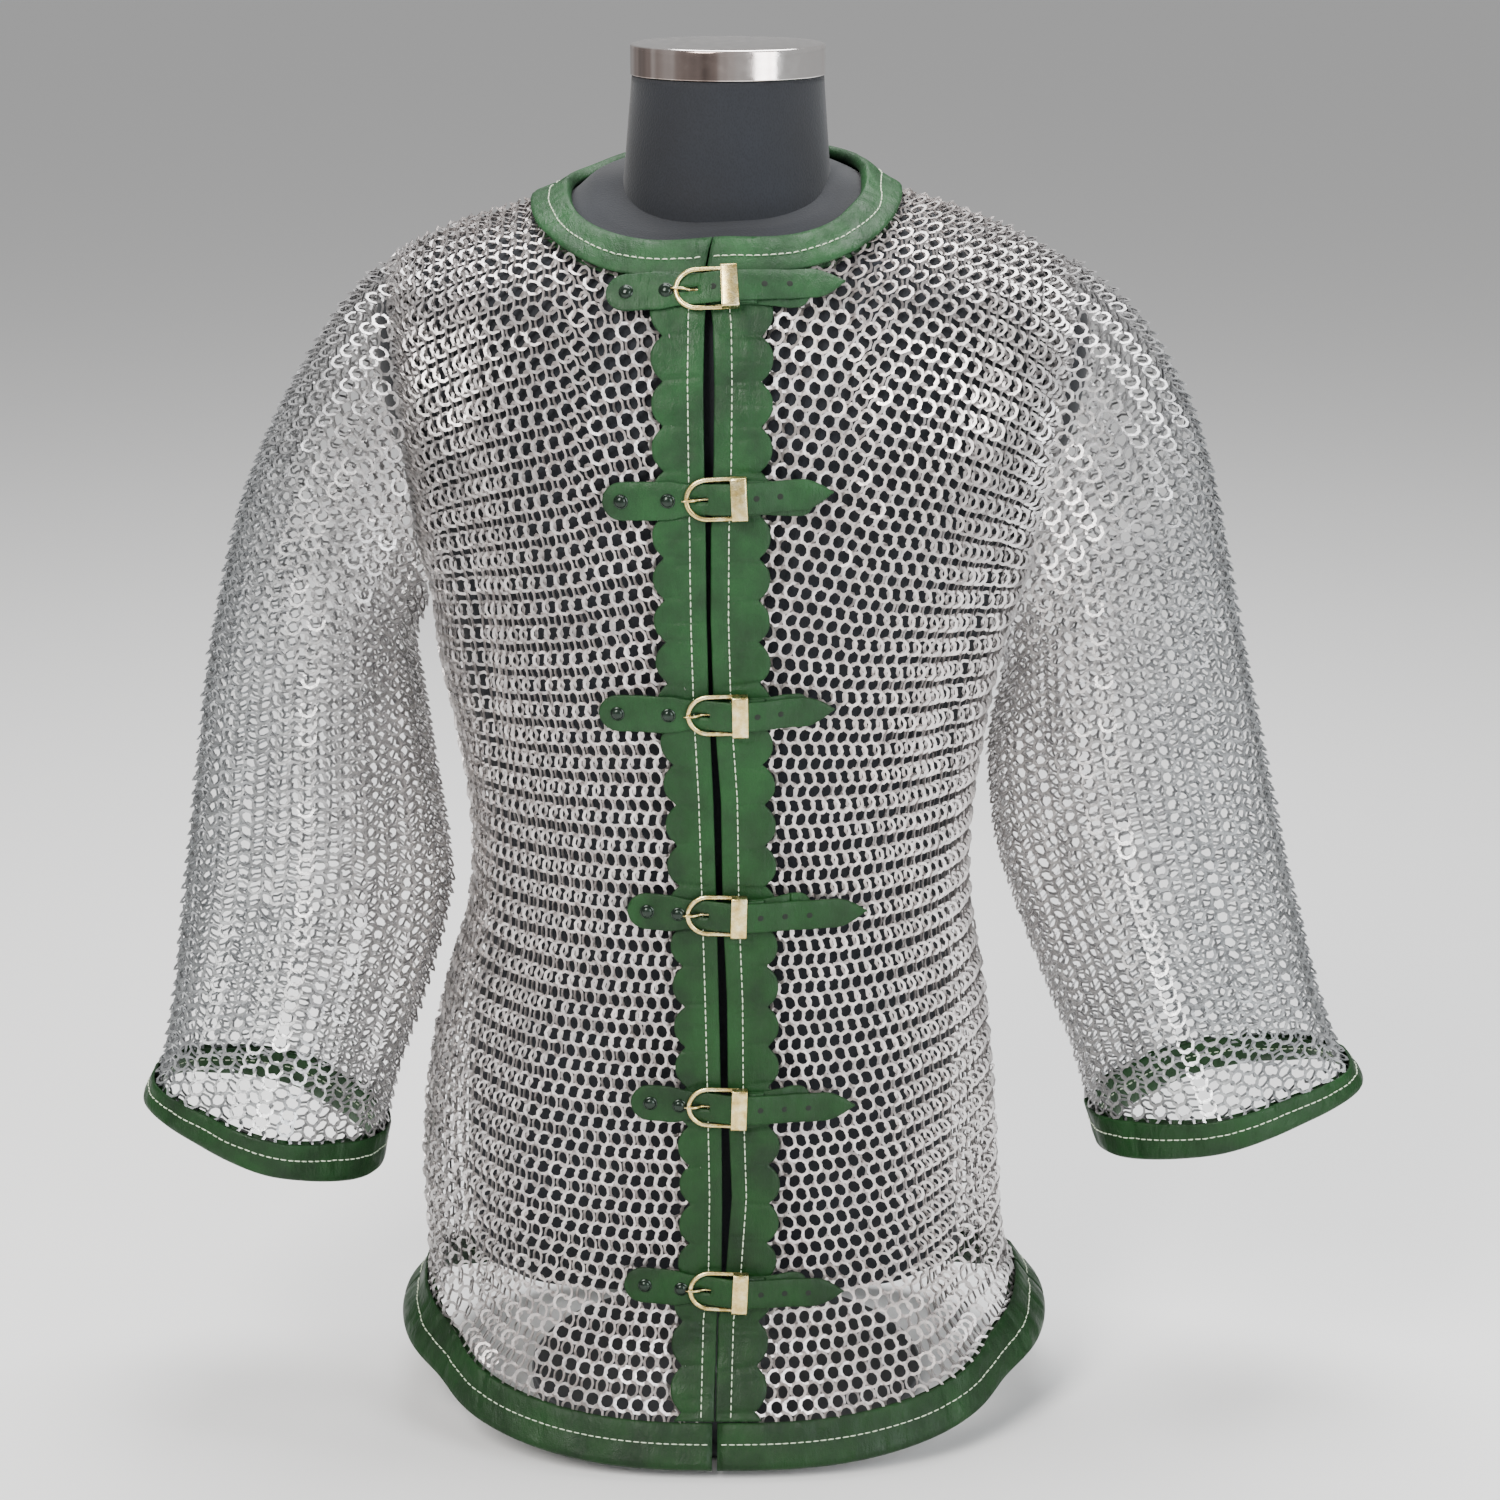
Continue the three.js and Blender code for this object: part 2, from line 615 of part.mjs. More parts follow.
const bodyMail = mail.subtract(beyondSeam(RIGHT_SEAM, GAP)).subtract(beyondSeam(LEFT_SEAM, GAP));
const frontMail = bodyMail.intersect(halfSpace(-1, GAP / 2));
addPiece('mail_front_right', frontMail.intersect(besideOpening(-1, MAIL_INSET)), COLOURS.mail);
addPiece('mail_front_left', frontMail.intersect(besideOpening(1, MAIL_INSET)), COLOURS.mail);
addPiece('mail_back', bodyMail.intersect(halfSpace(1, GAP / 2)), COLOURS.mail);
addPiece('mail_sleeve_right', mail.intersect(beyondSeam(RIGHT_SEAM, 0)), COLOURS.mail);
addPiece('mail_sleeve_left', mail.intersect(beyondSeam(LEFT_SEAM, 0)), COLOURS.mail);

// The leather bound over the edges: each binding is folded, with the mail in its slot

// A folded strip along an edge: its section goes down the outside, round the edge and up the inside.
// Its facets are split as the cloth's are, which depends on whether the edge is the cloth's last row.
function foldedBinding(edgeAt, topAt, edgeIsLast) {
  const isEdge = [false, true, true, true, false, false, true, true, false];
  const leans = isEdge.map((edge, i) => {
    const next = isEdge[(i + 1) % isEdge.length];
    return edge !== next && next !== edgeIsLast;
  });
  const sections = edgeAt(0).map((_, c) => {
    const out = (offset, beyond) => {
      const edge = edgeAt(offset)[c];
      const top = topAt(offset)[c];
      return edge.clone().addScaledVector(edge.clone().sub(top).normalize(), beyond);
    };
    const inside = -MAIL - SLOT - BINDING;
    const middle = -MAIL / 2;
    return [
      topAt(BAND_TOP)[c], out(BAND_TOP, SLOT + 0.6), out(middle, SLOT + LEATHER),
      out(inside, SLOT + 0.6), topAt(inside)[c],
      topAt(-MAIL - SLOT)[c], out(-MAIL - SLOT, SLOT), out(SLOT, SLOT), topAt(SLOT)[c],
    ];
  });
  return loft(sections, true, leans);
}

const torsoBinding = (edge, top, edgeIsLast) => foldedBinding(
  (offset) => torsoRing(offset, TORSO_COLUMNS, edge),
  (offset) => torsoRing(offset, TORSO_COLUMNS, top),
  edgeIsLast,
);

const collar = torsoBinding(collarEdge, collarFoot, true);
const openCollar = collar.intersect(besideOpening(-1, 0)).add(collar.intersect(besideOpening(1, 0)));
addPiece('collar', openCollar.add(collar.intersect(halfSpace(1, 0))), COLOURS.leather);

const hem = torsoBinding(hemHeight, hemTop, false);
const frontHem = hem.intersect(halfSpace(-1, GAP / 2));
addPiece('hem_band_right', frontHem.intersect(besideOpening(-1, 0)), COLOURS.leather);
addPiece('hem_band_left', frontHem.intersect(besideOpening(1, 0)), COLOURS.leather);
addPiece('hem_band_back', hem.intersect(halfSpace(1, GAP / 2)), COLOURS.leather);

for (const [name, table] of [['cuff_band_right', RIGHT_SLEEVE], ['cuff_band_left', LEFT_SLEEVE]]) {
  const cuff = foldedBinding(
    (offset) => sleeveRing(table, offset, lastRow),
    (offset) => sleeveRing(table, offset, CUFF_ROW),
    true,
  );
  addPiece(name, cuff, COLOURS.leather);
}

// The scalloped bands beside the opening

const bandShell = torsoHollow(BAND_TOP).subtract(torsoHollow(SLOT));
const aboveHem = (angle) => hemTop(angle) + GAP;
const roomForHem = loft([
  torsoRing(8, TORSO_COLUMNS, (angle) => hemHeight(angle) - OVERRUN * 2),
  torsoRing(8, TORSO_COLUMNS, aboveHem),
  torsoRing(-8, TORSO_COLUMNS, aboveHem),
]);
const belowCollar = (angle) => necklineHeight(angle, COLLAR_GROW.side + SLOT, COLLAR_GROW.front + SLOT);
const roomForCollar = loft([
  torsoRing(-8, TORSO_COLUMNS, belowCollar),
  torsoRing(8, TORSO_COLUMNS, belowCollar),
  torsoRing(8, TORSO_COLUMNS, (angle) => necklineHeight(angle, -OVERRUN, -OVERRUN)),
]);

function addFrontBand(name, side, widths) {
  const outline = prism(scallopOutline(side, widths), -FAR, -30, 'xz');
  addPiece(name, bandShell.intersect(outline).subtract(roomForHem).subtract(roomForCollar), COLOURS.leather);
}

addFrontBand('front_band_right', -1, BAND_WIDTH.right);
addFrontBand('front_band_left', 1, BAND_WIDTH.left);

// The straps, each set in its own frame: along the strap, across it, and lifted off the mail

function strapFrame(row) {
  const slope = Math.atan(row.slope);
  const midline = (along) => onFront(row.x + along * Math.cos(slope), row.z + along * Math.sin(slope), 0);
  return (along, across, lift) => {
    const middle = midline(along);
    const forward = midline(along + 2).sub(midline(along - 2)).normalize();
    const out = torsoNormal(frontAngle(middle.x, middle.z), middle.z);
    const up = out.clone().cross(forward);
    return middle.addScaledVector(out, lift + row.raise).addScaledVector(up, across);
  };
}

// A strip with the same outline, along and lift, from one side edge to the other
function ribbon(place, outline, half) {
  return loft([-half, 0, half].map((across) => outline.map((p) => place(p[0], across, p[1]))));
}

// The same outline, but closed at its ends by cut faces that follow a bent outline
function bentRibbon(place, outline, half) {
  const flat = outline.map((p) => new THREE.Vector2(p[0], p[1]));
  const triangles = THREE.ShapeUtils.triangulateShape(flat, []);
  const count = outline.length;
  const points = [];
  for (const across of [-half, half]) points.push(...outline.map((p) => place(p[0], across, p[1])));
  const faces = [];
  for (const [a, b, c] of triangles) {
    faces.push(a, b, c, count + a, count + c, count + b);
  }
  const clockwise = THREE.ShapeUtils.isClockWise(flat);
  for (let i = 0; i < count; i += 1) {
    const j = (i + 1) % count;
    if (clockwise) faces.push(i, j, count + j, i, count + j, count + i);
    else faces.push(i, count + j, j, i, count + i, count + j);
  }
  return bodyFrom(points, faces);
}

function arc(along, lift, radius, fromTurn, toTurn, steps) {
  return Array.from({ length: steps + 1 }, (_, i) => {
    const angle = lerp(fromTurn, toTurn, i / steps) * TURN;
    return [along + radius * Math.cos(angle), lift + radius * Math.sin(angle)];
  });
}

const foldRadius = BUCKLE.wire + GAP + STRAP.chapeThick;
const chapeBase = WIRE_LEVEL - foldRadius;
const chapeTop = chapeBase + STRAP.chapeThick;

// How far the scalloped band reaches from the buckle's middle on one side
function bandReach(row, side) {
  const widths = side < 0 ? BAND_WIDTH.right : BAND_WIDTH.left;
  const full = lerp(widths.bottom, widths.top, row.z / 800);
  return full + side * (readColumn(OPENING, 'z', 'x', row.z) - row.x) + 1.5;
}

// What a hole through a strap takes away
function holeThrough(place, hole) {
  const { from, to, half } = hole;
  const outline = [[from, BELOW_HOLES], [to, BELOW_HOLES], [to, ABOVE_HOLES], [from, ABOVE_HOLES]];
  return ribbon(place, outline, half);
}

// The left strap, folded round the buckle's bar
function chapeBody(place, row) {
  const foldEnd = BAR + 8;
  const foldTop = OVER_FOLD - 1.3;
  const bandEdge = bandReach(row, 1);
  const across = row.chapeRise;
  const shifted = (along, b, lift) => {
    const turnUp = across * THREE.MathUtils.smoothstep(along, 20, 50);
    return place(along, b + turnUp, lift);
  };
  const outline = [
    [row.chape, ON_MAIL],
    [bandEdge + STEP, ON_MAIL],
    [bandEdge, chapeBase],
    [BAR * 2, chapeBase],
    ...arc(BAR, WIRE_LEVEL, foldRadius, -0.25, -0.75, 4),
    [foldEnd, foldTop],
    [KEEPER_END, chapeTop + GAP + STRAP.chapeThick],
    [KEEPER_END, chapeTop + GAP],
    [foldEnd, foldTop - STRAP.chapeThick],
    ...arc(BAR, WIRE_LEVEL, BUCKLE.wire + GAP, -0.75, -0.25, 4),
    [BAR * 2, chapeTop],
    [bandEdge, chapeTop],
    [bandEdge + STEP, ON_MAIL + STRAP.chapeThick],
    [row.chape, ON_MAIL + STRAP.chapeThick],
  ];
  return bentRibbon(shifted, outline, STRAP.chapeHalf).subtract(holeThrough(place, SLOT_HOLE));
}

// The height of the right strap's underside along it
function strapBase(row, along) {
  const tabEdge = -bandReach(row, -1);
  const tipEdge = bandReach(row, 1);
  const lifts = [
    { along: -95, lift: ON_MAIL },
    { along: tabEdge - STEP - 1, lift: ON_MAIL },
    { along: tabEdge, lift: STRAP_BASE },
    { along: -13.5, lift: STRAP_BASE },
    { along: 7, lift: OVER_FOLD },
    { along: 17, lift: OVER_FOLD },
    { along: 30, lift: chapeTop + GAP + STRAP.chapeThick + 0.6 },
    { along: tipEdge, lift: chapeTop + 0.7 },
    { along: tipEdge + STEP + 1, lift: ON_MAIL + STRAP.chapeThick + 0.7 },
    { along: row.chape, lift: ON_MAIL + STRAP.chapeThick + 0.5 },
    { along: row.chape + 6, lift: ON_MAIL + 0.8 },
    { along: row.tip + 1, lift: ON_MAIL },
  ];
  const i = lifts.findIndex((p) => p.along > along);
  const a = lifts[i - 1];
  const b = lifts[i];
  return lerp(a.lift, b.lift, (along - a.along) / (b.along - a.along));
}

function strapHalf(row, along) {
  const fromTab = along - row.tab;
  const fromTip = (along - (row.tip - TIP_LENGTH)) / TIP_LENGTH;
  const narrowing = THREE.MathUtils.smoothstep(along, -34, -18);
  const half = lerp(STRAP.tabHalf, STRAP.half, narrowing);
  if (fromTab < half) return Math.sqrt(Math.max(half * half - (half - fromTab) ** 2, 4));
  if (fromTip > 0) return Math.max(half * (1 - fromTip ** 1.7), 0.8);
  return half;
}

function strapBody(place, row) {
  const tabEdge = -bandReach(row, -1);
  const tipEdge = bandReach(row, 1);
  const stations = [
    row.tab, row.tab + 2, row.tab + 6, row.tab + STRAP.tabHalf, tabEdge - STEP - 1, tabEdge, -24, -13.5,
    7, 17, 30, tipEdge, tipEdge + STEP + 1, row.chape, row.chape + 6, row.tip - 16, row.tip - 8, row.tip,
  ].sort((a, b) => a - b);
  const kept = stations.filter((a, i) => i === 0 || a - stations[i - 1] > 1);
  const sections = kept.map((a) => {
    const half = strapHalf(row, a);
    const base = strapBase(row, a);
    return [
      place(a, -half, base), place(a, half, base),
      place(a, half, base + STRAP.thick), place(a, -half, base + STRAP.thick),
    ];
  });
  return loft(sections).subtract(holeThrough(place, PRONG_HOLE));
}

// The buckle's closed wire, and the flat plate over its bar
function buckleBody(place) {
  const side = BUCKLE.half - BUCKLE.wire;
  const bend = 6;
  const round = arc(-8, 0, 1, 0.25, 0.75, 6).map(([a, b]) => [-8 + (a + 8) * (BUCKLE.reach - 6.8), b * side]);
  const route = [[BAR, side - 1], [BAR - 1, side], ...round, [BAR - 1, -side], [BAR, -side + 1]];
  const sections = route.map(([a, b], i) => {
    const before = route[(i + route.length - 1) % route.length];
    const after = route[(i + 1) % route.length];
    const run = new THREE.Vector2(after[0] - before[0], after[1] - before[1]).normalize();
    return Array.from({ length: bend }, (_, k) => {
      const turn = (k / bend) * TURN;
      const out = BUCKLE.wire * Math.cos(turn);
      return place(a + run.y * out, b - run.x * out, WIRE_LEVEL + BUCKLE.wire * Math.sin(turn));
    });
  });
  const wire = loft(sections, true);
  const top = PLATE_BASE + BUCKLE.plateThick;
  const half = BUCKLE.half;
  const inner = half - 1.3;
  const arch = [
    [-half, PLATE_LEGS], [-half, top - 1], [-half + 1.4, top], [half - 1.4, top], [half, top - 1],
    [half, PLATE_LEGS], [inner, PLATE_LEGS], [inner, PLATE_BASE], [-inner, PLATE_BASE], [-inner, PLATE_LEGS],
  ];
  const overBar = (across, along, lift) => place(BAR + along, across, lift);
  return wire.add(bentRibbon(overBar, arch, BUCKLE.plate / 2));
}

// The prong, from the bar down through the right strap's hole and up over the wire's round end
function prongBody(place) {
  const route = [[10.2, 6.1], [3, 4.5], [-3, 3.7], [-12, 3.6], [-15.5, 6.6], [-19.5, 8.5], [-24.2, 8.6]];
  const sections = route.map(([along, lift], i) => {
    const half = i === route.length - 1 ? 0.4 : BUCKLE.prong;
    const corners = [[-half, -half], [half, -half], [half, half], [-half, half]];
    return corners.map(([b, h]) => place(along, b, lift + h));
  });
  return loft(sections);
}

// A domed rivet
function rivetBody(place, row, along) {
  const under = Math.max(strapBase(row, along - RIVET.radius), strapBase(row, along + RIVET.radius));
  const base = under + STRAP.thick + GAP;
  const profile = [[1, 0], [1, 0.4], [0.6, 1]];
  return loft(profile.map(([r, h]) => Array.from({ length: 8 }, (_, k) => {
    const turn = (k / 8) * TURN;
    const reach = r * RIVET.radius;
    return place(along + reach * Math.cos(turn), reach * Math.sin(turn), base + h * RIVET.height);
  })));
}

STRAPS.forEach((row, i) => {
  const place = strapFrame(row);
  const number = i + 1;
  addPiece(`strap_right_${number}`, strapBody(place, row), COLOURS.leather);
  addPiece(`strap_left_${number}`, chapeBody(place, row), COLOURS.leather);
  addPiece(`buckle_${number}`, buckleBody(place), COLOURS.brass);
  addPiece(`prong_${number}`, prongBody(place), COLOURS.brass);
  addPiece(`rivet_${number}_outer`, rivetBody(place, row, row.outer), COLOURS.rivet);
  addPiece(`rivet_${number}_inner`, rivetBody(place, row, row.inner), COLOURS.rivet);
});

// The dress form, its neck cap and its stand

// How far the form lies under the mail's outer surface
function formEase(z) {
  return readColumn(FORM_EASE, 'z', 'ease', z);
}

const formRows = torsoRows.filter((heightAt, i) => {
  const z = heightAt(0);
  return z > FORM_BOTTOM + 20 && (z > 690 || i % 2 === 0);
});
const formRings = formRows.map((heightAt) => torsoRing(-formEase(heightAt(0)), TORSO_COLUMNS, heightAt));
const formFoot = torsoRing(-formEase(FORM_BOTTOM), TORSO_COLUMNS, () => FORM_BOTTOM);
formRings.unshift(formFoot.map((p) => p.setZ(FORM_BOTTOM)));
const formTop = (angle) => necklineHeight(angle, -OVERRUN, -OVERRUN);
formRings.push(torsoRing(-formEase(NECK_TOP), TORSO_COLUMNS, formTop));
const formTorso = loft(formRings);
const formNeck = loft(NECK.map((row) => columnAngles(NECK_COLUMNS).map((angle) =>
  vec(row.x + row.radius * Math.cos(angle), row.y + row.radius * Math.sin(angle), row.z))));
addPiece('form_torso', formTorso.add(formNeck), COLOURS.form);

function latheBody(profile, segments) {
  const points = profile.map(([r, z]) => new THREE.Vector2(r, z));
  const geometry = new THREE.LatheGeometry(points, segments);
  geometry.rotateX(Math.PI / 2);
  return geometry;
}

const capGeometry = latheBody([
  [0, 0], [CAP_RADIUS, 0], [CAP_RADIUS, CAP_HEIGHT - 1.5], [CAP_RADIUS - 1.5, CAP_HEIGHT],
  [CAP_RADIUS - 16, CAP_HEIGHT + 1], [0, CAP_HEIGHT + 1.5],
], NECK_COLUMNS);
capGeometry.translate(2.6, 0, NECK_TOP);
addPiece('form_neck_cap', solid(capGeometry), COLOURS.chrome);

const standGeometry = latheBody([
  [0, 0], [STAND_RADIUS, 0], [STAND_RADIUS, STAND_PLATE - 3], [STAND_RADIUS - 3, STAND_PLATE],
  [POST_RADIUS + 6, STAND_PLATE], [POST_RADIUS, STAND_PLATE + 6],
  [POST_RADIUS, FORM_BOTTOM - 12], [POST_RADIUS + 30, FORM_BOTTOM - GAP], [0, FORM_BOTTOM - GAP],
], 28);
addPiece('stand', solid(standGeometry), COLOURS.stand);

export default group;
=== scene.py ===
"""Looks of the chainmail hauberk with leather trim, on its dress form.

Shapes are worked out in millimetres, as the part's source does, and become metres in add_mesh.
+Z is up and the front faces -Y. The wearer's right is at -X.
"""

import math

import bpy
import numpy as np
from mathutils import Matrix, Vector

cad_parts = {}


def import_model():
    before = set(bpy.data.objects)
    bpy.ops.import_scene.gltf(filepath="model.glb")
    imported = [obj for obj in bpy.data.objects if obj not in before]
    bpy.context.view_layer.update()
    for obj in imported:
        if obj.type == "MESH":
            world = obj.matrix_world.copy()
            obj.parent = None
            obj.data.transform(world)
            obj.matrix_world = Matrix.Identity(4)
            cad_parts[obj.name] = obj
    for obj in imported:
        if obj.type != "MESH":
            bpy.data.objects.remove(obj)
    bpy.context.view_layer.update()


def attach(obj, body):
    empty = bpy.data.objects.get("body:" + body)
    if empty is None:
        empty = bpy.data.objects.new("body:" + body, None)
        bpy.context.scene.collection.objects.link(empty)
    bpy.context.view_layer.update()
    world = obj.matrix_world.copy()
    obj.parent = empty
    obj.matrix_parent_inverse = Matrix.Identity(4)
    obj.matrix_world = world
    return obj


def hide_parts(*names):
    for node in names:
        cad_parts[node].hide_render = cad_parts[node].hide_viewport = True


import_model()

MM = 0.001
TURN = 2 * math.pi
rng = np.random.default_rng(12)

# Thicknesses and clearances, as in the part
MAIL = 4
LEATHER = 2
BINDING = 1.5
SLOT = 0.6
BAND_TOP = SLOT + LEATHER
INNER_LAYER = -MAIL - SLOT - BINDING
HEM_BAND = 26
FORM_BOTTOM = 105
NECK_TOP = 923
CAP_RADIUS = 64
CAP_HEIGHT = 20

# The rings: outer radius, inner radius, thickness, spacing along a row and between rows
RING = {"outer": 6.6, "inner": 4.5, "thick": 1.3, "pitch": 9.8, "rows": 9.5}
RING_DEPTH = 2.7
BELOW = 0.9
TOP_TILT = math.radians(37)
BELOW_TILT = math.radians(24)
RING_SWAY = math.radians(3.5)
RING_SHIFT = 0.2
UNDER_LEATHER = 7

# The torso's outer surface, by height
TORSO_COLUMNS = ("z", "right", "left", "mid", "front", "back", "square")
TORSO_ROWS = (
    (-24, -256, 252, 0, -188, 186, 2.4),
    (10, -246, 242, 0, -173, 171, 2.4),
    (40, -236, 232, 0, -158, 156, 2.4),
    (60, -228, 225, 0, -148, 147, 2.4),
    (76, -216, 212, 0, -140, 141, 2.4),
    (92, -211, 202, 0, -134, 138, 2.4),
    (112, -211, 196, 0, -130, 136, 2.4),
    (170, -213, 191.5, 0, -128, 135, 2.4),
    (235, -208, 187, 0, -128, 131, 2.4),
    (300, -195, 180, 0, -127, 120, 2.4),
    (360, -177.5, 170, 0, -125, 111, 2.4),
    (420, -174.5, 169, 0, -126, 108, 2.4),
    (480, -182, 176.5, 0, -129, 112, 2.4),
    (535, -193, 187, 0, -134, 120, 2.4),
    (590, -200, 204, 0, -139, 128, 2.4),
    (645, -219, 227, 0, -142, 133, 2.3),
    (700, -234, 245, 0, -140, 134, 2.25),
    (750, -240, 251, 2, -133, 129, 2.1),
    (788, -234, 240, 3, -122, 120, 1.85),
    (808, -215, 217, 5, -112, 114, 1.65),
    (824, -185, 187, 6, -100, 110, 1.55),
    (838, -140, 151, 9, -81, 104, 1.6),
    (850, -108, 113, 12, -66, 98, 1.7),
    (866, -86, 88, 20, -47, 87, 1.9),
    (880, -50, 50, 26, -22, 70, 2),
)

# The sleeves' outer surface, from the root to the cuff
SLEEVE_COLUMNS = ("outX", "outZ", "inX", "inZ", "depth", "mid")
RIGHT_SLEEVE = (
    (-120, 836, -118, 665, 74, 4),
    (-217, 804, -180, 592, 86, 2),
    (-251, 778, -198, 574, 86, 0),
    (-283, 732, -206, 558, 84, 0),
    (-308, 685, -210, 543, 82, -1),
    (-326, 640, -208, 524, 80, -2),
    (-339, 590, -204, 500, 79, -3),
    (-351, 530, -200, 468, 80, -4),
    (-368, 410, -190, 396, 83, -5),
    (-376, 350, -191, 358, 84, -5),
    (-383, 300, -207, 300, 84, -5),
    (-391, 257, -230, 232, 84, -4),
    (-398, 236, -239, 194, 84, -4),
    (-405, 222, -244, 168, 85, -4),
)
LEFT_SLEEVE = (
    (120, 838, 116, 650, 74, 4),
    (219, 808, 176, 560, 86, 2),
    (250, 790, 188, 532, 86, 0),
    (282, 760, 189, 514, 84, 0),
    (308, 718, 187, 504, 83, -1),
    (325, 672, 184, 496, 82, -2),
    (337, 618, 182, 484, 81, -3),
    (351, 550, 180, 466, 81, -4),
    (381, 414, 186, 405, 81, -5),
    (395, 360, 199, 362, 80, -5),
    (409, 308, 218, 312, 79, -4),
    (424, 264, 243, 250, 78, -3),
    (435, 244, 255, 208, 78, -2),
    (444, 232, 263, 182, 78, -2),
)

# Folds: turn, half width in turns, height, from, to. The radii turn a height into a share of the size
TORSO_FOLD_RADIUS = 170
SLEEVE_FOLD_RADIUS = 85
TORSO_FOLDS = (
    (0.60, 0.022, -5, 470, 640),
    (0.90, 0.022, -5, 450, 640),
    (0.40, 0.024, -5, 460, 640),
    (0.10, 0.024, -5, 450, 640),
    (0.655, 0.026, 3, 60, 330),
    (0.595, 0.024, -4, -20, 220),
    (0.845, 0.026, 3, 40, 300),
    (0.905, 0.024, -4, -20, 200),
    (0.16, 0.03, 4, -20, 300),
    (0.245, 0.03, -4, -20, 320),
    (0.34, 0.03, 4, -20, 280),
)
SLEEVE_FOLDS = (
    (0.93, 0.04, 4, 5, 14),
    (0.83, 0.035, -5, 6, 13),
    (0.73, 0.04, 4, 5, 15),
    (0.63, 0.035, -5, 4, 12),
    (0.38, 0.04, -5, 4, 12),
    (0.27, 0.04, 4, 5, 15),
    (0.15, 0.035, -4, 7, 14),
)

HEM = {"front": 10, "side": 60, "back": 22, "bend": 2.4}
OPENING = np.array((
    (-30, -8.7, 1), (100, -5, 1), (128, -1, 2.5), (187, 1.5, 6.5), (254, 0, 4.5), (327, -1, 5.5),
    (388, -3, 4), (466, -4.5, 5), (528, -8, 3), (590, -9.5, 2.6), (648, -9.5, 3.4), (690, -9, 6),
    (740, -9, 7), (776, -9, 5.5), (796, -9.6, 1.4), (900, -10.5, 1.2),
))
SCALLOP = {"pitch": 28, "depth": 7.5}
BAND_WIDTH = {-1: (30, 37), 1: (34, 41)}
BAND_HEIGHT = 800
NECKLINE = {"x": -5, "half": 99, "front": -97, "back": 82, "square": 2.4}
COLLAR = {"side": 23, "front": 15}
RIGHT_SEAM = np.array((
    (-232, 900), (-224, 790), (-204, 590), (-200.5, 545), (-193, 500), (-187, 460), (-182, 415),
    (-183, 375), (-195, 330), (-204, 285), (-220, 220), (-224, 120),
))
LEFT_SEAM = np.array((
    (236, 900), (230, 790), (204, 590), (186, 505), (178.4, 472), (176, 440), (177, 405), (185, 360),
    (197, 312), (215, 250), (228, 180), (228, 120),
))
FORM_EASE = np.array((
    (100, 32), (200, 30), (300, 22), (400, 14), (500, 14), (620, 12), (700, 9), (760, 7.6), (800, 7.3),
    (900, 7.3),
))
NECK = (
    (800, 71, 1, 4), (842, 70, 1.8, 2.5), (860, 68, 2, 2), (885, 66, 2.2, 1), (922.7, 63, 2.6, 0),
)

# The straps: z, x, slope, raise, tab, tip, chape, chapeRise, outer, inner
STRAPS = (
    (797, -8, 0.042, 0.3, -66, 85, 62, -4, -53, -27.5),
    (669, -2, 0.046, -0.7, -75, 72, 60, -3, -63, -33),
    (526, -1.5, 0.017, 0, -79, 73, 58, 1, -67, -34),
    (387, -2.5, -0.023, 0.2, -61, 96, 60, 4, -48, -27.5),
    (253, -2.5, -0.035, -0.2, -60, 89, 60, 4, -47, -27.5),
    (121, -2, -0.05, 0.5, -66, 82, 58, 3, -52, -27.5),
)
PRONG_HOLE = (-19.6, -7.4)
HOLES = ((2.2, 33.5, 49.5), (23, 38), (23, 38), (26, 42, 58), (26, 42, 58), (26, 42, 58))
HOLE_RADIUS = 2.0
STRAP = {"tab_half": 12.5, "half": 10, "thick": 1.8, "chape_half": 11, "chape_thick": 1.6}
STRAP_BASE = BAND_TOP + 0.35

# The buckles: levels, the bar that the chape is bent round, half the width, and the plate's sizes
GAP = 0.3
WIRE_RADIUS = 1.2
WIRE = 1.3
WIRE_LEVEL = STRAP_BASE + STRAP["thick"] + GAP + WIRE_RADIUS
FOLD_BASE = WIRE_LEVEL + WIRE_RADIUS + GAP
OVER_FOLD = FOLD_BASE + STRAP["chape_thick"] + GAP
PLATE_BASE = OVER_FOLD + STRAP["thick"] + GAP
CHAPE_BASE = WIRE_LEVEL - (WIRE_RADIUS + GAP + STRAP["chape_thick"])
CHAPE_TOP = CHAPE_BASE + STRAP["chape_thick"]
BUCKLE_HALF = 14
PLATE_THICK = 1.2
PLATE_CORNER = 1.6
PLATE_FOOT = WIRE_LEVEL - 0.8
PLATE_EDGES = ((-5, 0.9), (-4.7, 0.35), (-4, 0.08), (0, 0), (4, 0.08), (4.7, 0.35), (5, 0.9))
PRONG = (
    (10.2, 6.1, 1.0), (6, 5.2, 1.0), (3, 4.5, 1.0), (0, 4.0, 1.0), (-3, 3.8, 1.0), (-9, 3.7, 0.95),
    (-12, 3.9, 0.95), (-14, 5.2, 0.95), (-15.6, 6.9, 0.95), (-17.5, 8.0, 0.9), (-19.5, 8.55, 0.85),
    (-22, 8.75, 0.7), (-24.2, 8.6, 0.35),
)
RIVET = (
    (4.6, 0), (4.7, 0.25), (4.5, 0.55), (4.0, 0.7), (3.9, 0.8), (3.6, 1.5), (2.8, 2.2), (1.6, 2.7),
    (0.5, 2.85),
)
ON_MAIL = 0.9
BAR = 12
STEP = 7


# Surfaces


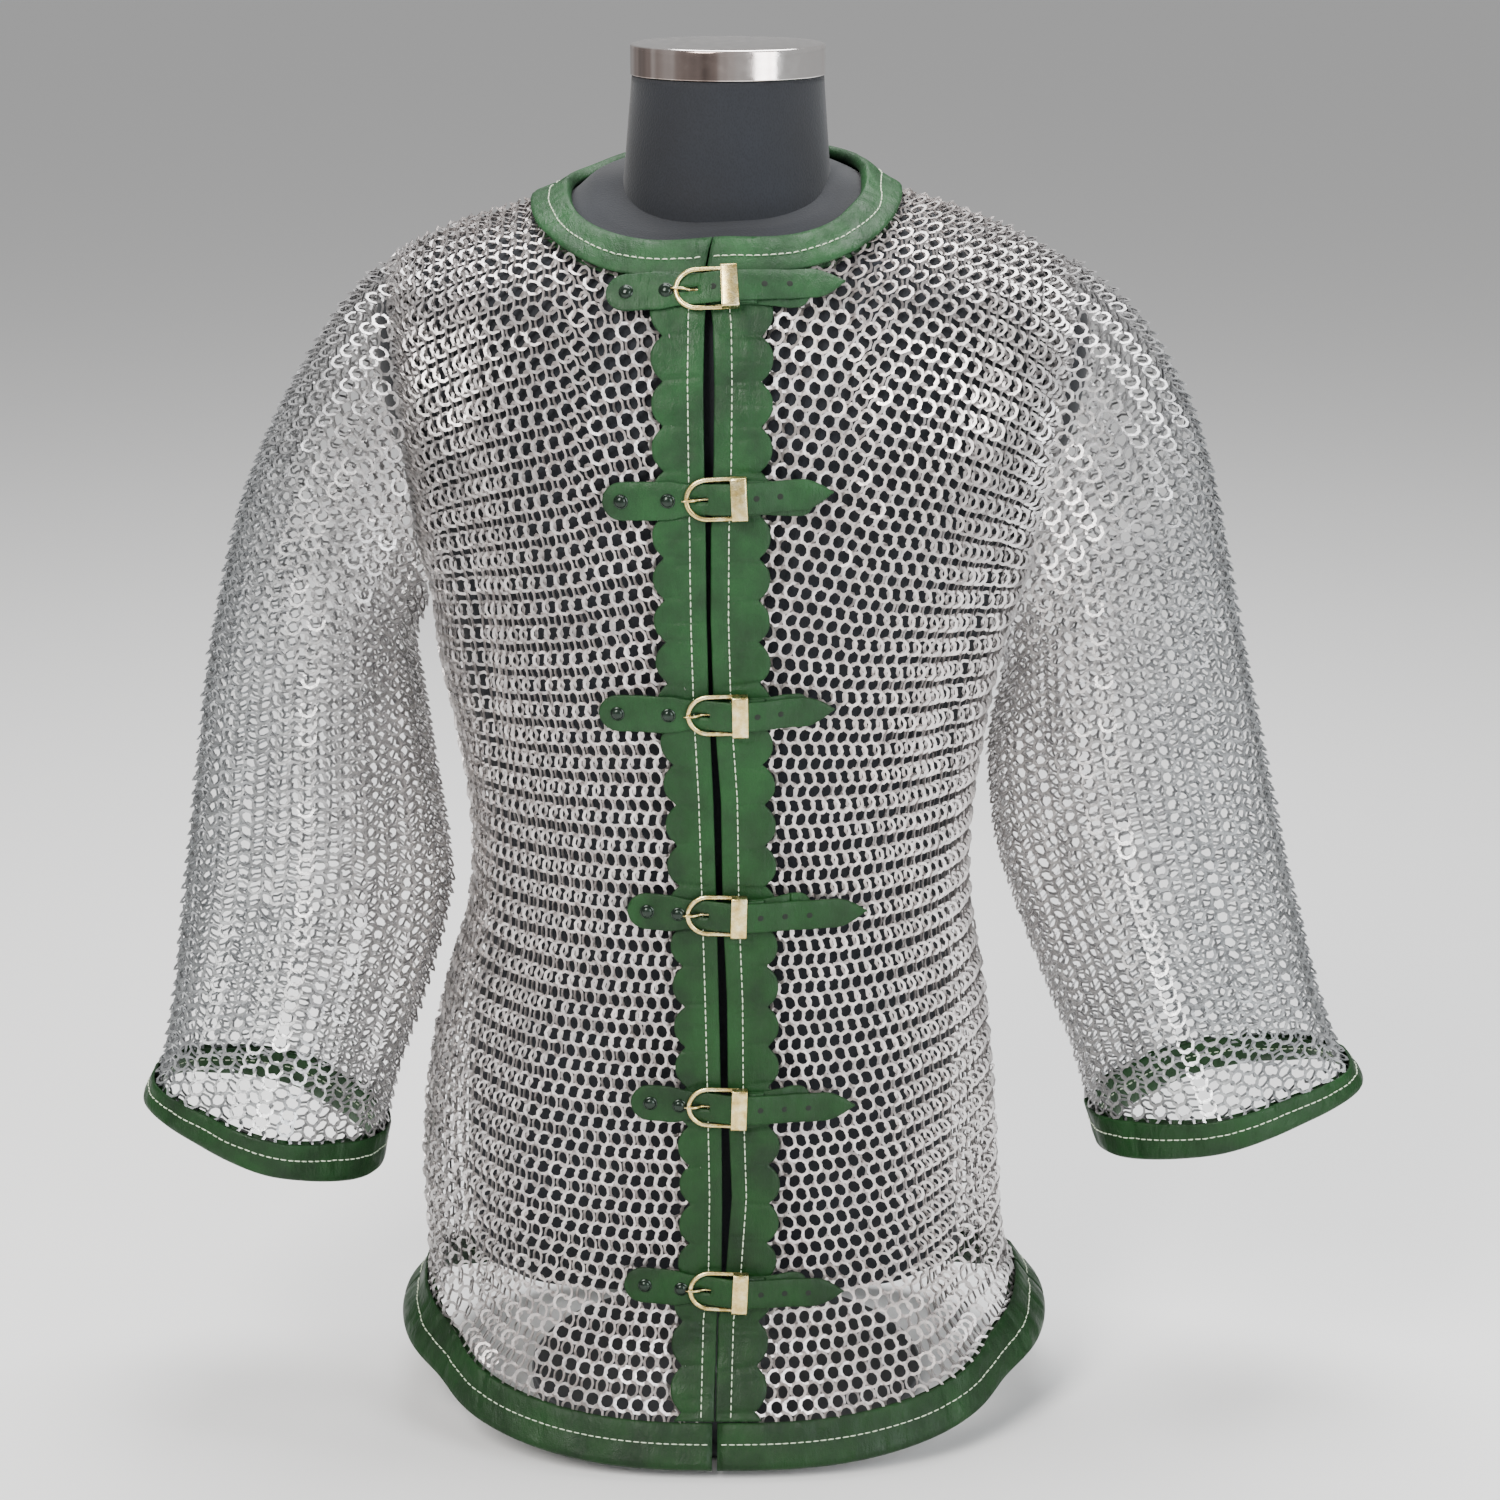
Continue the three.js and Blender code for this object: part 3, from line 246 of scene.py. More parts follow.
def smooth_read(keys, values, at):
    """The part's smooth curve through a table's column."""
    keys = np.asarray(keys, float)
    values = np.asarray(values, float)
    at = np.clip(at, keys[0], keys[-1])
    i = np.clip(np.searchsorted(keys, at, side="left") - 1, 0, len(keys) - 2)
    before = np.maximum(np.arange(len(keys)) - 1, 0)
    after = np.minimum(np.arange(len(keys)) + 1, len(keys) - 1)
    slopes = (values[after] - values[before]) / (keys[after] - keys[before])
    span = keys[i + 1] - keys[i]
    u = (at - keys[i]) / span
    u2, u3 = u * u, u * u * u
    return (
        (2 * u3 - 3 * u2 + 1) * values[i]
        + (u3 - 2 * u2 + u) * span * slopes[i]
        + (3 * u2 - 2 * u3) * values[i + 1]
        + (u3 - u2) * span * slopes[i + 1]
    )


TORSO = {name: np.array(column, float) for name, column in zip(TORSO_COLUMNS, zip(*TORSO_ROWS))}
TORSO_LOW = TORSO["z"][0]
TORSO_HIGH = TORSO["z"][-1]


def torso_read(name, z):
    return smooth_read(TORSO["z"], TORSO[name], z)


def smoothstep(value, low, high):
    t = np.clip((value - low) / (high - low), 0, 1)
    return t * t * (3 - 2 * t)


def fold_height(folds, turn, along, fade):
    total = np.zeros(np.broadcast(turn, along).shape)
    for at, width, height, start, end in folds:
        away = np.abs(turn - at)
        away = np.minimum(away, 1 - away)
        reach = smoothstep(along, start - fade, start + fade)
        reach = reach * (1 - smoothstep(along, end - fade, end + fade))
        total = total + height * np.exp(-((away / width) ** 2)) * reach
    return total


def signed_power(value, power):
    return np.sign(value) * np.abs(value) ** power


def torso_point(angle, z):
    angle, z = np.broadcast_arrays(np.asarray(angle, float), np.asarray(z, float))
    right, left = torso_read("right", z), torso_read("left", z)
    mid = torso_read("mid", z)
    power = 2 / torso_read("square", z)
    edge = np.where(np.sin(angle) < 0, torso_read("front", z), torso_read("back", z))
    grow = 1 + fold_height(TORSO_FOLDS, (angle / TURN + 1) % 1, z, 60) / TORSO_FOLD_RADIUS
    x = (right + left) / 2 + (left - right) / 2 * signed_power(np.cos(angle), power) * grow
    y = mid + (edge - mid) * np.abs(np.sin(angle)) ** power * grow
    return np.stack([x, y, z], axis=-1)


def unit(v):
    return v / np.maximum(np.linalg.norm(v, axis=-1, keepdims=True), 1e-12)


def circle(count):
    """Even angles round a full turn."""
    return np.arange(count) / count * TURN


def arc_length(points, axis=0):
    """The length along lines of points, from 0 at their start."""
    lengths = np.cumsum(np.linalg.norm(np.diff(points, axis=axis), axis=-1), axis=axis)
    return np.concatenate([np.zeros_like(lengths.take([0], axis=axis)), lengths], axis=axis)


def highest(passes, low, high, rounds):
    """The highest values between low and high that pass a test, by halving."""
    for _ in range(rounds):
        middle = (low + high) / 2
        good = passes(middle)
        low = np.where(good, middle, low)
        high = np.where(good, high, middle)
    return low


def torso_normal(angle, z):
    along_a = torso_point(angle + 0.02, z) - torso_point(angle - 0.02, z)
    along_z = torso_point(angle, z + 2) - torso_point(angle, z - 2)
    return unit(np.cross(along_a, along_z))


def torso_at(angle, z, lift):
    lift = np.asarray(lift, float)
    return torso_point(angle, z) + torso_normal(angle, z) * lift[..., None]


def face_angle(x, z, face):
    """The angle of the point with a given x, on the front (-1) or the back (1)."""
    right, left = torso_read("right", z), torso_read("left", z)
    across = np.clip((x - (right + left) / 2) / ((left - right) / 2), -1, 1)
    return face * np.arccos(signed_power(across, torso_read("square", z) / 2))


def hem_height(angle):
    rise = np.abs(np.cos(angle)) ** HEM["bend"]
    return np.where(np.sin(angle) < 0, HEM["front"], HEM["back"]) * (1 - rise) + HEM["side"] * rise


def neck_measure(p, side, front):
    """Over 1 outside the neckline grown by side and front, and under 1 inside it."""
    ahead = p[..., 1] < 0
    square = np.where(ahead, NECKLINE["square"], 2)
    deep = np.where(ahead, -NECKLINE["front"] + front, NECKLINE["back"] + side)
    across = np.abs(p[..., 0] - NECKLINE["x"]) / (NECKLINE["half"] + side)
    return across**square + (np.abs(p[..., 1]) / deep) ** square


def neckline_height(angle, side, front):
    """The height of the grown neckline at an angle."""
    angle = np.asarray(angle, float)
    low, high = np.full(angle.shape, 770.0), np.full(angle.shape, 887.0)
    return highest(lambda z: neck_measure(torso_point(angle, z), side, front) > 1, low, high, 26)


def sleeve_table(rows):
    return {name: np.array(column, float) for name, column in zip(SLEEVE_COLUMNS, zip(*rows))}


def sleeve_point(table, angle, at):
    angle, at = np.broadcast_arrays(np.asarray(angle, float), np.asarray(at, float))
    keys = np.arange(len(table["mid"]))
    read = {name: smooth_read(keys, table[name], at) for name in SLEEVE_COLUMNS}
    outer = np.stack([read["outX"], read["mid"], read["outZ"]], axis=-1)
    inner = np.stack([read["inX"], read["mid"], read["inZ"]], axis=-1)
    grow = 1 + fold_height(SLEEVE_FOLDS, (angle / TURN + 1) % 1, at, 2) / SLEEVE_FOLD_RADIUS
    arm = (outer - inner) * (0.5 * np.cos(angle) * grow)[..., None]
    around = np.zeros(arm.shape)
    around[..., 1] = read["depth"] * np.sin(angle) * grow
    return (outer + inner) / 2 + arm + around


def sleeve_normal(table, angle, at):
    nearby = np.clip(at, 0.1, len(table["mid"]) - 1.1)
    along_a = sleeve_point(table, angle + 0.05, nearby) - sleeve_point(table, angle - 0.05, nearby)
    along_s = sleeve_point(table, angle, nearby + 0.1) - sleeve_point(table, angle, nearby - 0.1)
    outward = -np.sign(table["outX"][0])
    return unit(np.cross(along_a, along_s)) * outward


def sleeve_at(table, angle, at, lift):
    lift = np.asarray(lift, float)
    return sleeve_point(table, angle, at) + sleeve_normal(table, angle, at) * lift[..., None]


# Meshes


def add_mesh(name, points, quads, materials, smooth=True, face_material=None, tone_and_shade=None):
    """A mesh object from points in millimetres and faces of three or four corners each."""
    mesh = bpy.data.meshes.new(name)
    points = np.asarray(points, np.float32).reshape(-1, 3) * MM
    faces = [np.asarray(q, np.int32) for q in (quads if isinstance(quads, list) else [quads]) if len(q)]
    loops = np.concatenate([q.ravel() for q in faces])
    sizes = np.concatenate([np.full(len(q), q.shape[1], np.int32) for q in faces])
    mesh.vertices.add(len(points))
    mesh.vertices.foreach_set("co", points.ravel())
    mesh.loops.add(len(loops))
    mesh.loops.foreach_set("vertex_index", loops)
    mesh.polygons.add(len(sizes))
    starts = np.concatenate([[0], np.cumsum(sizes)[:-1]]).astype(np.int32)
    mesh.polygons.foreach_set("loop_start", starts)
    mesh.polygons.foreach_set("loop_total", sizes)
    mesh.polygons.foreach_set("use_smooth", np.full(len(sizes), smooth))
    if face_material is not None:
        mesh.polygons.foreach_set("material_index", np.asarray(face_material, np.int32))
    mesh.update(calc_edges=True)
    if tone_and_shade is not None:
        layer = mesh.attributes.new("tone_and_shade", "FLOAT", "POINT")
        layer.data.foreach_set("value", np.asarray(tone_and_shade, np.float32))
    for material in materials:
        mesh.materials.append(material)
    mesh.validate()
    obj = bpy.data.objects.new(name, mesh)
    bpy.context.scene.collection.objects.link(obj)
    return obj


def grid_quads(rows, columns, start=0, wrap_rows=False, wrap_columns=False):
    """The faces of a grid of points, a row at a time."""
    r = np.arange(rows if wrap_rows else rows - 1)
    c = np.arange(columns if wrap_columns else columns - 1)
    r, c = np.meshgrid(r, c, indexing="ij")
    r2, c2 = (r + 1) % rows, (c + 1) % columns
    quads = np.stack([r * columns + c, r * columns + c2, r2 * columns + c2, r2 * columns + c], axis=-1)
    return quads.reshape(-1, 4) + start


def tube_grid(sections, closed=False):
    """Points and faces of a body through closed sections, capped at its ends unless it joins up."""
    sections = np.asarray(sections, float)
    rows, count = sections.shape[:2]
    points = sections.reshape(-1, 3)
    faces = [grid_quads(rows, count, wrap_rows=closed, wrap_columns=True)]
    if not closed:
        hubs = [sections[0].mean(axis=0), sections[-1].mean(axis=0)]
        points = np.concatenate([points, hubs])
        c = np.arange(count)
        first = np.stack([(c + 1) % count, c, np.full(count, rows * count)], axis=-1)
        base = (rows - 1) * count
        last = np.stack([base + c, base + (c + 1) % count, np.full(count, rows * count + 1)], axis=-1)
        faces += [first, last]
    return points, faces


def join_parts(parts):
    """Joins several (points, [faces]) into one, and says how many faces each has."""
    points, faces, counts, start = [], [], [], 0
    for part_points, part_faces in parts:
        points.append(np.asarray(part_points, float).reshape(-1, 3))
        part_faces = part_faces if isinstance(part_faces, list) else [part_faces]
        faces += [np.asarray(f) + start for f in part_faces]
        counts.append(sum(len(f) for f in part_faces))
        start += len(points[-1])
    return np.concatenate(points), faces, counts


def turned_out(points, faces):
    """The faces with their fronts outwards, for one closed body."""
    volume = 0.0
    for f in faces:
        a = points[f[:, 0]]
        for k in range(1, f.shape[1] - 1):
            volume += (a * np.cross(points[f[:, k]], points[f[:, k + 1]])).sum()
    return faces if volume > 0 else [f[:, ::-1] for f in faces]


def closed_body(sections, closed=False):
    points, faces = tube_grid(sections, closed)
    return points, turned_out(points, faces)


# Materials


def new_material(name):
    material = bpy.data.materials.new(name)
    material.use_nodes = True
    nodes = material.node_tree.nodes
    return material, nodes, material.node_tree.links, nodes["Principled BSDF"]


def position(nodes, links, target, stretch):
    """Feeds a texture the place on the object, stretched along the axes."""
    where = nodes.new("ShaderNodeNewGeometry")
    scale = nodes.new("ShaderNodeVectorMath")
    scale.operation = "MULTIPLY"
    scale.inputs[1].default_value = stretch
    links.new(where.outputs["Position"], scale.inputs[0])
    links.new(scale.outputs[0], target.inputs["Vector"])


def noise(nodes, links, scale, detail=4, roughness=0.55, stretch=(1, 1, 1)):
    node = nodes.new("ShaderNodeTexNoise")
    node.inputs["Scale"].default_value = scale
    node.inputs["Detail"].default_value = detail
    node.inputs["Roughness"].default_value = roughness
    position(nodes, links, node, stretch)
    return node.outputs["Fac"]


def cells(nodes, links, scale, stretch=(1, 1, 1)):
    node = nodes.new("ShaderNodeTexVoronoi")
    node.inputs["Scale"].default_value = scale
    position(nodes, links, node, stretch)
    return node.outputs["Distance"]


def one_axis(nodes, links, what, axis):
    """One axis of the surface's Position or Normal."""
    where = nodes.new("ShaderNodeNewGeometry")
    split = nodes.new("ShaderNodeSeparateXYZ")
    links.new(where.outputs[what], split.inputs[0])
    return split.outputs[axis]


def ramp(nodes, links, source, stops):
    node = nodes.new("ShaderNodeValToRGB")
    node.color_ramp.elements[0].position = stops[0][0]
    node.color_ramp.elements[0].color = (*stops[0][1], 1)
    node.color_ramp.elements[1].position = stops[-1][0]
    node.color_ramp.elements[1].color = (*stops[-1][1], 1)
    for at, colour in stops[1:-1]:
        element = node.color_ramp.elements.new(at)
        element.color = (*colour, 1)
    links.new(source, node.inputs["Fac"])
    return node.outputs["Color"]


def to_range(nodes, links, source, low, high, from_low=0.3, from_high=0.7):
    """Spreads a value over low to high. By default it comes from where a noise mostly lies."""
    node = nodes.new("ShaderNodeMapRange")
    node.inputs["From Min"].default_value = from_low
    node.inputs["From Max"].default_value = from_high
    node.inputs["To Min"].default_value = low
    node.inputs["To Max"].default_value = high
    links.new(source, node.inputs["Value"])
    return node.outputs["Result"]


def mix(nodes, links, kind, factor, a, b):
    node = nodes.new("ShaderNodeMix")
    node.data_type = "RGBA"
    node.blend_type = kind
    for value, socket in ((factor, node.inputs[0]), (a, node.inputs[6]), (b, node.inputs[7])):
        if isinstance(value, bpy.types.NodeSocket):
            links.new(value, socket)
        elif isinstance(value, (int, float)):
            socket.default_value = value
        else:
            socket.default_value = (*value, 1)
    return node.outputs[2]


def bump(nodes, links, shader, height, strength, distance, below=None):
    node = nodes.new("ShaderNodeBump")
    node.inputs["Strength"].default_value = strength
    node.inputs["Distance"].default_value = distance
    links.new(height, node.inputs["Height"])
    if below is not None:
        links.new(below, node.inputs["Normal"])
    links.new(node.outputs["Normal"], shader.inputs["Normal"])
    return node.outputs["Normal"]


def ring_metal():
    """Tumbled aluminium: each ring has a tone of its own, with small scuffs. The rings that lie below get
    painted shade and those on top painted light, and a painted warm light over the middle fades to a darker,
    cooler painted shade out at the sides.
    """
    material, nodes, links, shader = new_material("ring_metal")
    tone_and_shade = nodes.new("ShaderNodeAttribute")
    tone_and_shade.attribute_name = "tone_and_shade"
    base = ramp(nodes, links, tone_and_shade.outputs["Fac"], (
        (0.0, (0.48, 0.47, 0.47)), (0.5, (0.72, 0.70, 0.69)), (1.0, (0.92, 0.90, 0.89)),
    ))
    # Painted light: rings near the middle get a warm light, and rings out at the sides and on the sleeves a
    # darker, cooler painted shade.
    sideways = nodes.new("ShaderNodeMath")
    sideways.operation = "ABSOLUTE"
    links.new(one_axis(nodes, links, "Position", "X"), sideways.inputs[0])
    outward = to_range(nodes, links, sideways.outputs[0], 0.0, 1.0, 0.1, 0.32)
    painted_light_tint = ramp(nodes, links, outward, ((0.0, (1.0, 0.95, 0.935)), (1.0, (0.62, 0.655, 0.68))))
    base = mix(nodes, links, "MULTIPLY", 1.0, base, painted_light_tint)
    smudge = to_range(nodes, links, noise(nodes, links, 260, 3), 0.72, 1.08)
    links.new(mix(nodes, links, "MULTIPLY", 1.0, base, smudge), shader.inputs["Base Color"])
    shader.inputs["Metallic"].default_value = 0.9
    scuff = noise(nodes, links, 900, 2)
    links.new(to_range(nodes, links, scuff, 0.26, 0.5), shader.inputs["Roughness"])
    bump(nodes, links, shader, scuff, 0.35, 0.0004)
    return material


def green_leather():
    """Dyed leather with grain, soft creases and marks, and painted light: paler and warmer towards the
    collar, darker towards the hem.
    """
    material, nodes, links, shader = new_material("green_leather")
    # Painted light: the leather's colour runs from dark at the hem to lighter and warmer at the top.
    height = to_range(nodes, links, one_axis(nodes, links, "Position", "Z"), 0.0, 1.0, 0.0, 0.85)
    base = ramp(nodes, links, height, (
        (0.0, (0.0035, 0.026, 0.004)), (0.45, (0.005, 0.035, 0.0065)), (1.0, (0.011, 0.053, 0.016)),
    ))
    cloud = noise(nodes, links, 28, 5, 0.6)
    patch = ramp(nodes, links, cloud, ((0.32, (0.42, 0.42, 0.42)), (0.68, (1.45, 1.45, 1.35))))
    tinted = mix(nodes, links, "MULTIPLY", 0.8, base, patch)
    pores = cells(nodes, links, 1100)
    speck = to_range(nodes, links, pores, 0.8, 1.06, 0.0, 0.6)
    links.new(mix(nodes, links, "MULTIPLY", 1.0, tinted, speck), shader.inputs["Base Color"])
    wear = noise(nodes, links, 90, 3, stretch=(1, 1, 0.35))
    links.new(to_range(nodes, links, wear, 0.4, 0.66), shader.inputs["Roughness"])
    shader.inputs["Specular IOR Level"].default_value = 0.28
    crease = noise(nodes, links, 55, 4, 0.6, (1.6, 1, 0.5))
    soft = bump(nodes, links, shader, crease, 0.8, 0.003)
    bump(nodes, links, shader, pores, 0.35, 0.0004, soft)
    return material


def pale_brass():
    material, nodes, links, shader = new_material("pale_brass")
    base = ramp(nodes, links, noise(nodes, links, 180), (
        (0.3, (0.52, 0.37, 0.12)), (0.5, (0.74, 0.58, 0.25)), (0.7, (0.90, 0.80, 0.48)),
    ))
    links.new(base, shader.inputs["Base Color"])
    shader.inputs["Metallic"].default_value = 1.0
    scratch = noise(nodes, links, 700, 2, stretch=(1, 1, 4))
    links.new(to_range(nodes, links, scratch, 0.2, 0.42), shader.inputs["Roughness"])
    bump(nodes, links, shader, scratch, 0.2, 0.0002)
    return material


def simple_surface(name, colours, metallic, roughness, scale, strength, distance):
    """A finish whose colour and roughness drift with one noise."""
    material, nodes, links, shader = new_material(name)
    drift = noise(nodes, links, scale)
    colour = ramp(nodes, links, drift, ((0.3, colours[0]), (0.7, colours[1])))
    links.new(colour, shader.inputs["Base Color"])
    shader.inputs["Metallic"].default_value = metallic
    links.new(to_range(nodes, links, drift, *roughness), shader.inputs["Roughness"])
    bump(nodes, links, shader, drift, strength, distance)
    return material


def form_jersey():
    """The dress form's charcoal cloth: a close fine knit with a soft nap."""
    material, nodes, links, shader = new_material("form_jersey")
    knit = cells(nodes, links, 900, (1, 1, 0.6))
    cloud = noise(nodes, links, 14)
    base = ramp(nodes, links, cloud, ((0.3, (0.007, 0.008, 0.011)), (0.7, (0.013, 0.015, 0.020))))
    shade = to_range(nodes, links, knit, 0.7, 1.15, 0.0, 0.6)
    links.new(mix(nodes, links, "MULTIPLY", 1.0, base, shade), shader.inputs["Base Color"])
    links.new(to_range(nodes, links, cloud, 0.72, 0.86), shader.inputs["Roughness"])
    shader.inputs["Sheen Weight"].default_value = 0.15
    shader.inputs["Specular IOR Level"].default_value = 0.3
    bump(nodes, links, shader, knit, 0.4, 0.0004)
    return material


def streaked_chrome():
    """Polished metal with soft upright bands of light and shade, a little warm."""
    material, nodes, links, shader = new_material("neck_chrome")
    bands = noise(nodes, links, 26, 3, 0.5, (1, 1, 0.02))
    base = ramp(nodes, links, bands, (
        (0.34, (0.10, 0.075, 0.065)), (0.45, (0.42, 0.33, 0.30)), (0.52, (0.80, 0.70, 0.66)),
        (0.62, (0.95, 0.92, 0.90)),
    ))
    # Painted highlight: faces that look up are mixed towards a pale colour, as if lit from above.
    top = to_range(nodes, links, one_axis(nodes, links, "Normal", "Z"), 0.0, 1.0, 0.4, 0.9)
    base = mix(nodes, links, "MIX", top, base, (0.86, 0.82, 0.80))
    links.new(base, shader.inputs["Base Color"])
    shader.inputs["Metallic"].default_value = 1.0
    smear = noise(nodes, links, 140, 3)
    links.new(to_range(nodes, links, smear, 0.1, 0.2), shader.inputs["Roughness"])
    return material


METAL = ring_metal()
GREEN = green_leather()
BRASS = pale_brass()
THREAD = simple_surface(
    "pale_thread", ((0.42, 0.52, 0.36), (0.66, 0.74, 0.58)), 0, (0.6, 0.8), 900, 0.6, 0.0004,
)
DARK = simple_surface(
    "dark_enamel", ((0.004, 0.010, 0.006), (0.012, 0.026, 0.016)), 0.4, (0.16, 0.3), 300, 0.2, 0.0003,
)
HOLE = simple_surface(
    "hole_shadow", ((0.002, 0.004, 0.002), (0.006, 0.012, 0.006)), 0, (0.8, 0.95), 300, 0.1, 0.0002,
)
JERSEY = form_jersey()
CHROME = streaked_chrome()
STAND = simple_surface(
    "stand_paint", ((0.05, 0.053, 0.058), (0.075, 0.078, 0.084)), 0.2, (0.4, 0.55), 220, 0.2, 0.0003,
)


def settle(obj, slot, *nodes):
    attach(obj, "root")
    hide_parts(*nodes)


# The rings. A row's lean has a sign, and says whether the row lies on top or below

ON_TOP = 2
UNDERNEATH = 1


def ring_shape(sides):
    """One ring's points in its own plane, and its faces: a flat top, and a keel below it."""
    turn = circle(sides)
    middle = (RING["outer"] + RING["inner"]) / 2
    section = (
        (RING["outer"], RING["thick"] * 0.35),
        (RING["inner"], RING["thick"] * 0.35),
        (middle, -RING["thick"] * 0.65),
    )
    points = np.stack([
        np.stack([r * np.cos(turn), r * np.sin(turn), np.full(sides, h)], axis=-1) for r, h in section
    ], axis=1)
    faces = grid_quads(sides, len(section), wrap_rows=True, wrap_columns=True)
    return points.reshape(-1, 3), faces[:, ::-1]


def add_rings(name, centre, along, out, lean, node_names, sides):
    """Rings at the centres, each turned up about the line across its row."""
    shape, faces = ring_shape(sides)
    count = len(centre)
    across = unit(np.cross(out, along))
    along = unit(np.cross(across, out))
    on_top = np.abs(lean) == ON_TOP
    tilt = np.where(on_top, TOP_TILT, BELOW_TILT) + rng.normal(0, RING_SWAY, count)
    tilt = np.sign(lean) * tilt
    roll = rng.normal(0, RING_SWAY, count)
    spin = rng.random(count) * TURN
    first = along * np.cos(tilt)[:, None] + out * np.sin(tilt)[:, None]
    second = across * np.cos(roll)[:, None] + out * np.sin(roll)[:, None]
    up = unit(np.cross(first, second))
    second = np.cross(up, first)
    a = first * np.cos(spin)[:, None] + second * np.sin(spin)[:, None]
    b = second * np.cos(spin)[:, None] - first * np.sin(spin)[:, None]
    centre = centre - out * np.where(on_top, RING_DEPTH, RING_DEPTH + BELOW)[:, None]
    centre = centre + rng.normal(0, RING_SHIFT, (count, 3))
    points = (
        centre[:, None]
        + a[:, None] * shape[None, :, 0:1]
        + b[:, None] * shape[None, :, 1:2]
        + up[:, None] * shape[None, :, 2:3]
    )
    quads = (faces[None] + (np.arange(count) * len(shape))[:, None, None]).reshape(-1, 4)
    # Painted shade and light: each ring's random tone is made darker for the rings that lie below and
    # lighter for the rings on top.
    tone_and_shade = np.clip(rng.normal(0.5, 0.18, count) + np.where(on_top, 0.12, -0.2), 0, 1)
    obj = add_mesh(name, points, quads, [METAL], smooth=False, tone_and_shade=np.repeat(tone_and_shade, len(shape)))
    settle(obj, "mail", *node_names)


# The torso's weave: columns run from the shoulder's ridge to the hem, and rows cross them.
# Up to LEVEL the columns share the girth evenly, and above it they spread with the armhole's seam.
# The columns are counted at the chest, and the rows down the column at BASE_X.

LEVEL = 590
CHEST = 645.0
SHOULDER = 700.0
WAIST = 450
NEAR_HEM = 40.0
TOPMOST = 879.0
CENTRE_X = -5
BASE_X = 78
SLOPE_COLUMNS = 6
SLOPE_SAMPLE = 60
STEEPEST = 0.2


def seam_x(side, z):
    seam = RIGHT_SEAM if side < 0 else LEFT_SEAM
    return np.interp(z, seam[::-1, 1], seam[::-1, 0])


def column_x(side, share, z):
    """Where a column lies at a height: at an even share of the way round, or over the shoulder."""
    low = np.minimum(z, LEVEL)
    samples = np.linspace(-math.pi / 2, -math.pi if side < 0 else 0, 90)
    levels = np.linspace(TORSO_LOW, LEVEL, 60)
    ring = torso_point(samples[None], levels[:, None])
    arc = arc_length(ring, axis=1)
    arc /= arc[:, -1:]
    x_table = np.stack([np.interp(share, a, r[:, 0]) for a, r in zip(arc, ring)])
    at = (low - levels[0]) / (levels[1] - levels[0])
    i = np.clip(at.astype(int), 0, len(levels) - 2)
    u = at - i
    column = np.broadcast_to(np.arange(len(share)), i.shape)
    x = x_table[i, column] * (1 - u) + x_table[i + 1, column] * u
    spread = (seam_x(side, z) - CENTRE_X) / (seam_x(side, LEVEL) - CENTRE_X)
    return np.where(z > LEVEL, CENTRE_X + (x - CENTRE_X) * spread, x)


